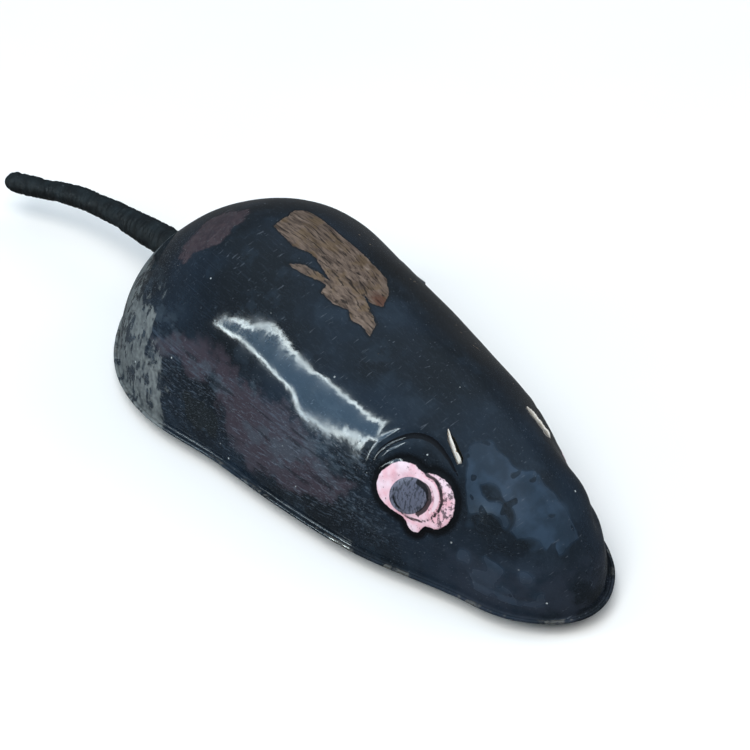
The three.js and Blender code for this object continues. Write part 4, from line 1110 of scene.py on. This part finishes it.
def build_turned():
    """Turned pieces and wheels, one by one."""
    for node in ("rear_top_pillar", "rear_bottom_pillar", "front_top_pillar", "spring_pillar"):
        a, b = ends(node)
        rear = [(a, 0), (a, 0.55), (a + 0.22, 0.95), (a + 0.6, 1.18), (a + 0.6, 0.7)]
        front = [(b - 0.6, 0.7), (b - 0.6, 1.18), (b - 0.22, 0.95), (b, 0.55), (b, 0)]
        profile = rear + mirrored([(PLATE_SHOULDER, 1.1), (PLATE_SHOULDER, 0.7)]) + front
        lathe(f"{node}_turned", node, "chassis", "steel", profile, 0.07, 40)
    profile = mirrored(INTERMEDIATE_HALF)
    lathe("intermediate_shaft", "intermediate_arbor", "intermediate_parts", "steel", profile, 0.06, 40)
    end = ends("drive_axle")[1]
    profile = mirrored([(end - 0.3, 0.9), (end, 0.6), (end, 0)])
    lathe("drive_axle_rod", "drive_axle", "drive_parts", "steel", profile, 0.08, 40)
    a, b = ends("front_axle")
    profile = [(a, 0), (a, 0.72), (a + 0.5, 1.2), (a + 0.5, 0.8)]
    profile += [(b - 0.5, 0.8), (b - 0.5, 1.2), (b, 0.72), (b, 0)]
    lathe("front_pin", "front_axle", "chassis", "steel", profile, 0.12, 40)
    lathe("click_rivet_turned", "click_rivet", "great_wheel_parts", "brass", CLICK_RIVET, 0.05, 32)
    a, b = ends("arm_rivet", 2)
    profile = [(a, 0), (a, 0.8), (a + 0.2, 1.25), (a + 0.5, 1.5), (a + 0.5, 0.8)]
    profile += [(b - 0.5, 0.8), (b - 0.5, 1.4), (b - 0.2, 1.2), (b, 0.8), (b, 0)]
    lathe("arm_rivet_turned", "arm_rivet", "chassis", "steel", profile, 0.1, 40, axis="z")
    for side, word in ((1, "left"), (-1, "right")):
        wheel = [(side * along, r) for along, r in DRIVE_WHEEL]
        tyre = [(side * along, r) for along, r in TYRE]
        body, on = "drive_parts", "drive_axle"
        lathe(f"{word}_disc_wheel", f"{word}_drive_wheel", body, "tinplate", wheel, 0.16, 96, on=on)
        more = {"on": on, "ripple": tread_ribs}
        lathe(f"{word}_rubber_tyre", f"{word}_tyre", body, "rubber", tyre, 0.06, 160, **more)
    profile = mirrored(ROLLER_HALF)
    profile.append(profile[0])
    lathe("front_roller", "front_wheel", "front_wheel_parts", "tinplate", profile, 0.12, 80)


def dress_cad():
    """Stamped and cut pieces keep their CAD shape, with softened edges and a real finish."""
    finishes = {
        "tinplate": [
            "left_side_plate", "right_side_plate", "rear_cross_strap", "front_cross_strap", "front_wheel_arm",
        ],
        "brass": ["great_wheel", "intermediate_wheel"],
        "steel": ["ratchet_wheel", "intermediate_pinion", "axle_pinion"],
        "blued_spring": ["click_spring"],
    }
    for look, nodes in finishes.items():
        for node in nodes:
            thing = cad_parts[node]
            thing.data.materials.clear()
            thing.data.materials.append(LOOKS[look])
            weld = thing.modifiers.new("weld", "WELD")
            weld.merge_threshold = 2e-6
            soft = thing.modifiers.new("soft_edges", "BEVEL")
            soft.width = 0.00011 if look == "tinplate" else 0.00005
            soft.segments = 3
            soft.angle_limit = math.radians(40)
            soft.harden_normals = True


# ---------- studio ----------
def area_light(name, place, target, size, radiance, colour, gloss=True):
    """A rectangular light of that radiance; place, target and size are in metres."""
    lamp = bpy.data.lights.new(name, "AREA")
    lamp.shape = "RECTANGLE"
    lamp.size, lamp.size_y = size
    lamp.energy = radiance * math.pi * size[0] * size[1]
    lamp.color = colour
    thing = bpy.data.objects.new(name, lamp)
    thing.location = place
    thing.rotation_euler = (Vector(target) - Vector(place)).to_track_quat("-Z", "Y").to_euler()
    thing.visible_glossy = gloss
    bpy.context.scene.collection.objects.link(thing)
    return thing


# Directions from the shoulder to the corners of the window, as degrees
# from -X, negative towards the rear, and degrees up.
WINDOW_TARGET = Vector((-0.0125, -0.018, 0.0195))
WINDOW_DISTANCE = 1.0
WINDOW_TOP = [(-34.0, 20.5), (-31.5, 29.5), (-29.5, 35.5), (-27.5, 37.0), (-24.5, 33.0), (-20.5, 22.0)]
WINDOW_SILL = [(-34.0, 16.0), (-31.5, 15.0), (-29.5, 16.0), (-27.5, 14.0), (-24.5, 9.0), (-20.5, 4.0)]
# Thickness in metres, radiance and colour of the frame, its two ends and the pane.
WINDOW_LIGHT = (0.86, 0.98, 1.0)
WINDOW_FRAME = (0.022, 26.0, WINDOW_LIGHT)
WINDOW_END = (0.008, 24.0, WINDOW_LIGHT)
PANE_RADIANCE = 2.4
PANE_LIGHT = (0.40, 0.72, 1.08)


def build_window():
    """A window low on the mouse's right: a bright frame round a dim blue pane."""

    def spot(bearing, rise):
        a, e = math.radians(bearing), math.radians(rise)
        ray = Vector((-math.cos(a) * math.cos(e), -math.sin(a) * math.cos(e), math.sin(e)))
        return WINDOW_TARGET + WINDOW_DISTANCE * ray

    def bar(name, start, end, thickness, radiance, colour):
        a, b = spot(*start), spot(*end)
        middle = (a + b) / 2
        lamp = area_light(name, middle, WINDOW_TARGET, ((b - a).length, thickness), radiance, colour)
        facing = (WINDOW_TARGET - middle).normalized()
        along = (b - a).normalized()
        lamp.rotation_euler = Matrix((along, along.cross(facing), -facing)).transposed().to_euler()

    for i, (a, b, c, d) in enumerate(zip(WINDOW_TOP, WINDOW_TOP[1:], WINDOW_SILL, WINDOW_SILL[1:])):
        bar(f"window_top_{i}", a, b, *WINDOW_FRAME)
        bar(f"window_sill_{i}", c, d, *WINDOW_FRAME)
        middle = ((a[0] + b[0]) / 2, (a[1] + b[1]) / 2), ((c[0] + d[0]) / 2, (c[1] + d[1]) / 2)
        width = WINDOW_DISTANCE * math.radians(b[0] - a[0]) * 0.9
        bar(f"window_pane_{i}", *middle, width, PANE_RADIANCE, PANE_LIGHT)
    bar("window_rear_edge", WINDOW_TOP[0], WINDOW_SILL[0], *WINDOW_END)
    bar("window_front_edge", WINDOW_TOP[-1], WINDOW_SILL[-1], *WINDOW_END)


# Height share and colour of the surroundings, from straight below to straight above.
SKY = [
    (0.0, (0.08, 0.085, 0.09)), (0.35, (0.10, 0.12, 0.14)),
    (0.75, (0.30, 0.38, 0.46)), (1.0, (0.34, 0.43, 0.52)),
]


def build_world():
    """Soft surroundings: pale blue overhead, dim at the level of the mouse and below."""
    world = bpy.data.worlds.new("studio")
    world.use_nodes = True
    tree = world.node_tree
    place = tree.nodes.new("ShaderNodeTexCoord")
    parts = tree.nodes.new("ShaderNodeSeparateXYZ")
    sky = tree.nodes.new("ShaderNodeValToRGB")
    tree.links.new(place.outputs["Generated"], parts.inputs[0])
    tree.links.new(parts.outputs["Z"], sky.inputs["Fac"])
    tree.links.new(sky.outputs["Color"], tree.nodes["Background"].inputs["Color"])
    for at, _ in SKY[1:-1]:
        sky.color_ramp.elements.new(at)
    for stop, (at, shade) in zip(sky.color_ramp.elements, SKY):
        stop.position = at
        stop.color = (*shade, 1.0)
    bpy.context.scene.world = world


# Soft boxes over the mouse: place, size, radiance and colour.
SOFT_BOXES = {
    "ceiling": ((-0.1, 0.1, 0.75), (0.75, 0.6), 1.0, (0.72, 0.86, 1.0)),
    "key": ((-0.45, -0.35, 0.9), (0.7, 0.7), 6.0, (1.0, 0.975, 0.94)),
    "fill": ((0.7, -0.5, 0.6), (0.6, 0.6), 2.4, (1.0, 0.98, 0.96)),
}
# Half the floor's side in millimetres, and its squares across.
FLOOR_REACH = 1500
FLOOR_SQUARES = 30


def build_studio():
    build_world()
    for name, (place, size, radiance, colour) in SOFT_BOXES.items():
        area_light(name, place, (0, 0, 0), size, radiance, colour, gloss=False)
    build_window()

    p = Paint("pale_floor")
    colour = p.mix(p.step(p.noise(0.02, 3, seed=71), 0.3, 0.7), (243, 243, 241), (246, 246, 245))
    paint = p.finish(colour, 0.8, p.noise(1.5, 3, seed=72), distance=1e-5)
    count = FLOOR_SQUARES + 1
    marks = [FLOOR_REACH * (2 * i / FLOOR_SQUARES - 1) for i in range(count)]
    spots = [(across, along, 0.0) for along in marks for across in marks]
    floor = mesh_object("floor", spots, grid_faces(count, count, wrap=False), [paint])
    # Only its diffuse light reaches the enamel, so the flanks keep their depth.
    floor.visible_glossy = False


CAMERA_PLACE = Vector((-0.20456, -0.30201, 0.29285))
CAMERA_TARGET = Vector((0.0, -0.01555, 0.0125))
CAMERA_ROLL = -0.0445
LENS = {"lens": 157.57, "sensor_width": 36, "shift_x": 0.0134, "shift_y": 0.0024}
LENS |= {"clip_start": 0.01, "clip_end": 10}


def build_camera():
    """Camera at the photograph's viewing angle: a long lens, above the mouse's right front."""
    ahead = (CAMERA_TARGET - CAMERA_PLACE).normalized()
    right = ahead.cross(Vector((0, 0, 1))).normalized()
    up = right.cross(ahead)
    c, s = math.cos(CAMERA_ROLL), math.sin(CAMERA_ROLL)
    lens = bpy.data.cameras.new("camera")
    for key, value in LENS.items():
        setattr(lens, key, value)
    camera = bpy.data.objects.new("camera", lens)
    turn = Matrix((right * c + up * s, up * c - right * s, -ahead)).transposed()
    camera.matrix_world = Matrix.Translation(CAMERA_PLACE) @ turn.to_4x4()
    bpy.context.scene.collection.objects.link(camera)
    bpy.context.scene.camera = camera


# ---------- assembly ----------
bpy.context.scene.view_settings.view_transform = "Standard"
build_camera()
build_studio()
build_shell()
build_tail()
build_ear(1, "left")
build_ear(-1, "right")
build_spring()
build_square_arbor()
build_turned()
dress_cad()
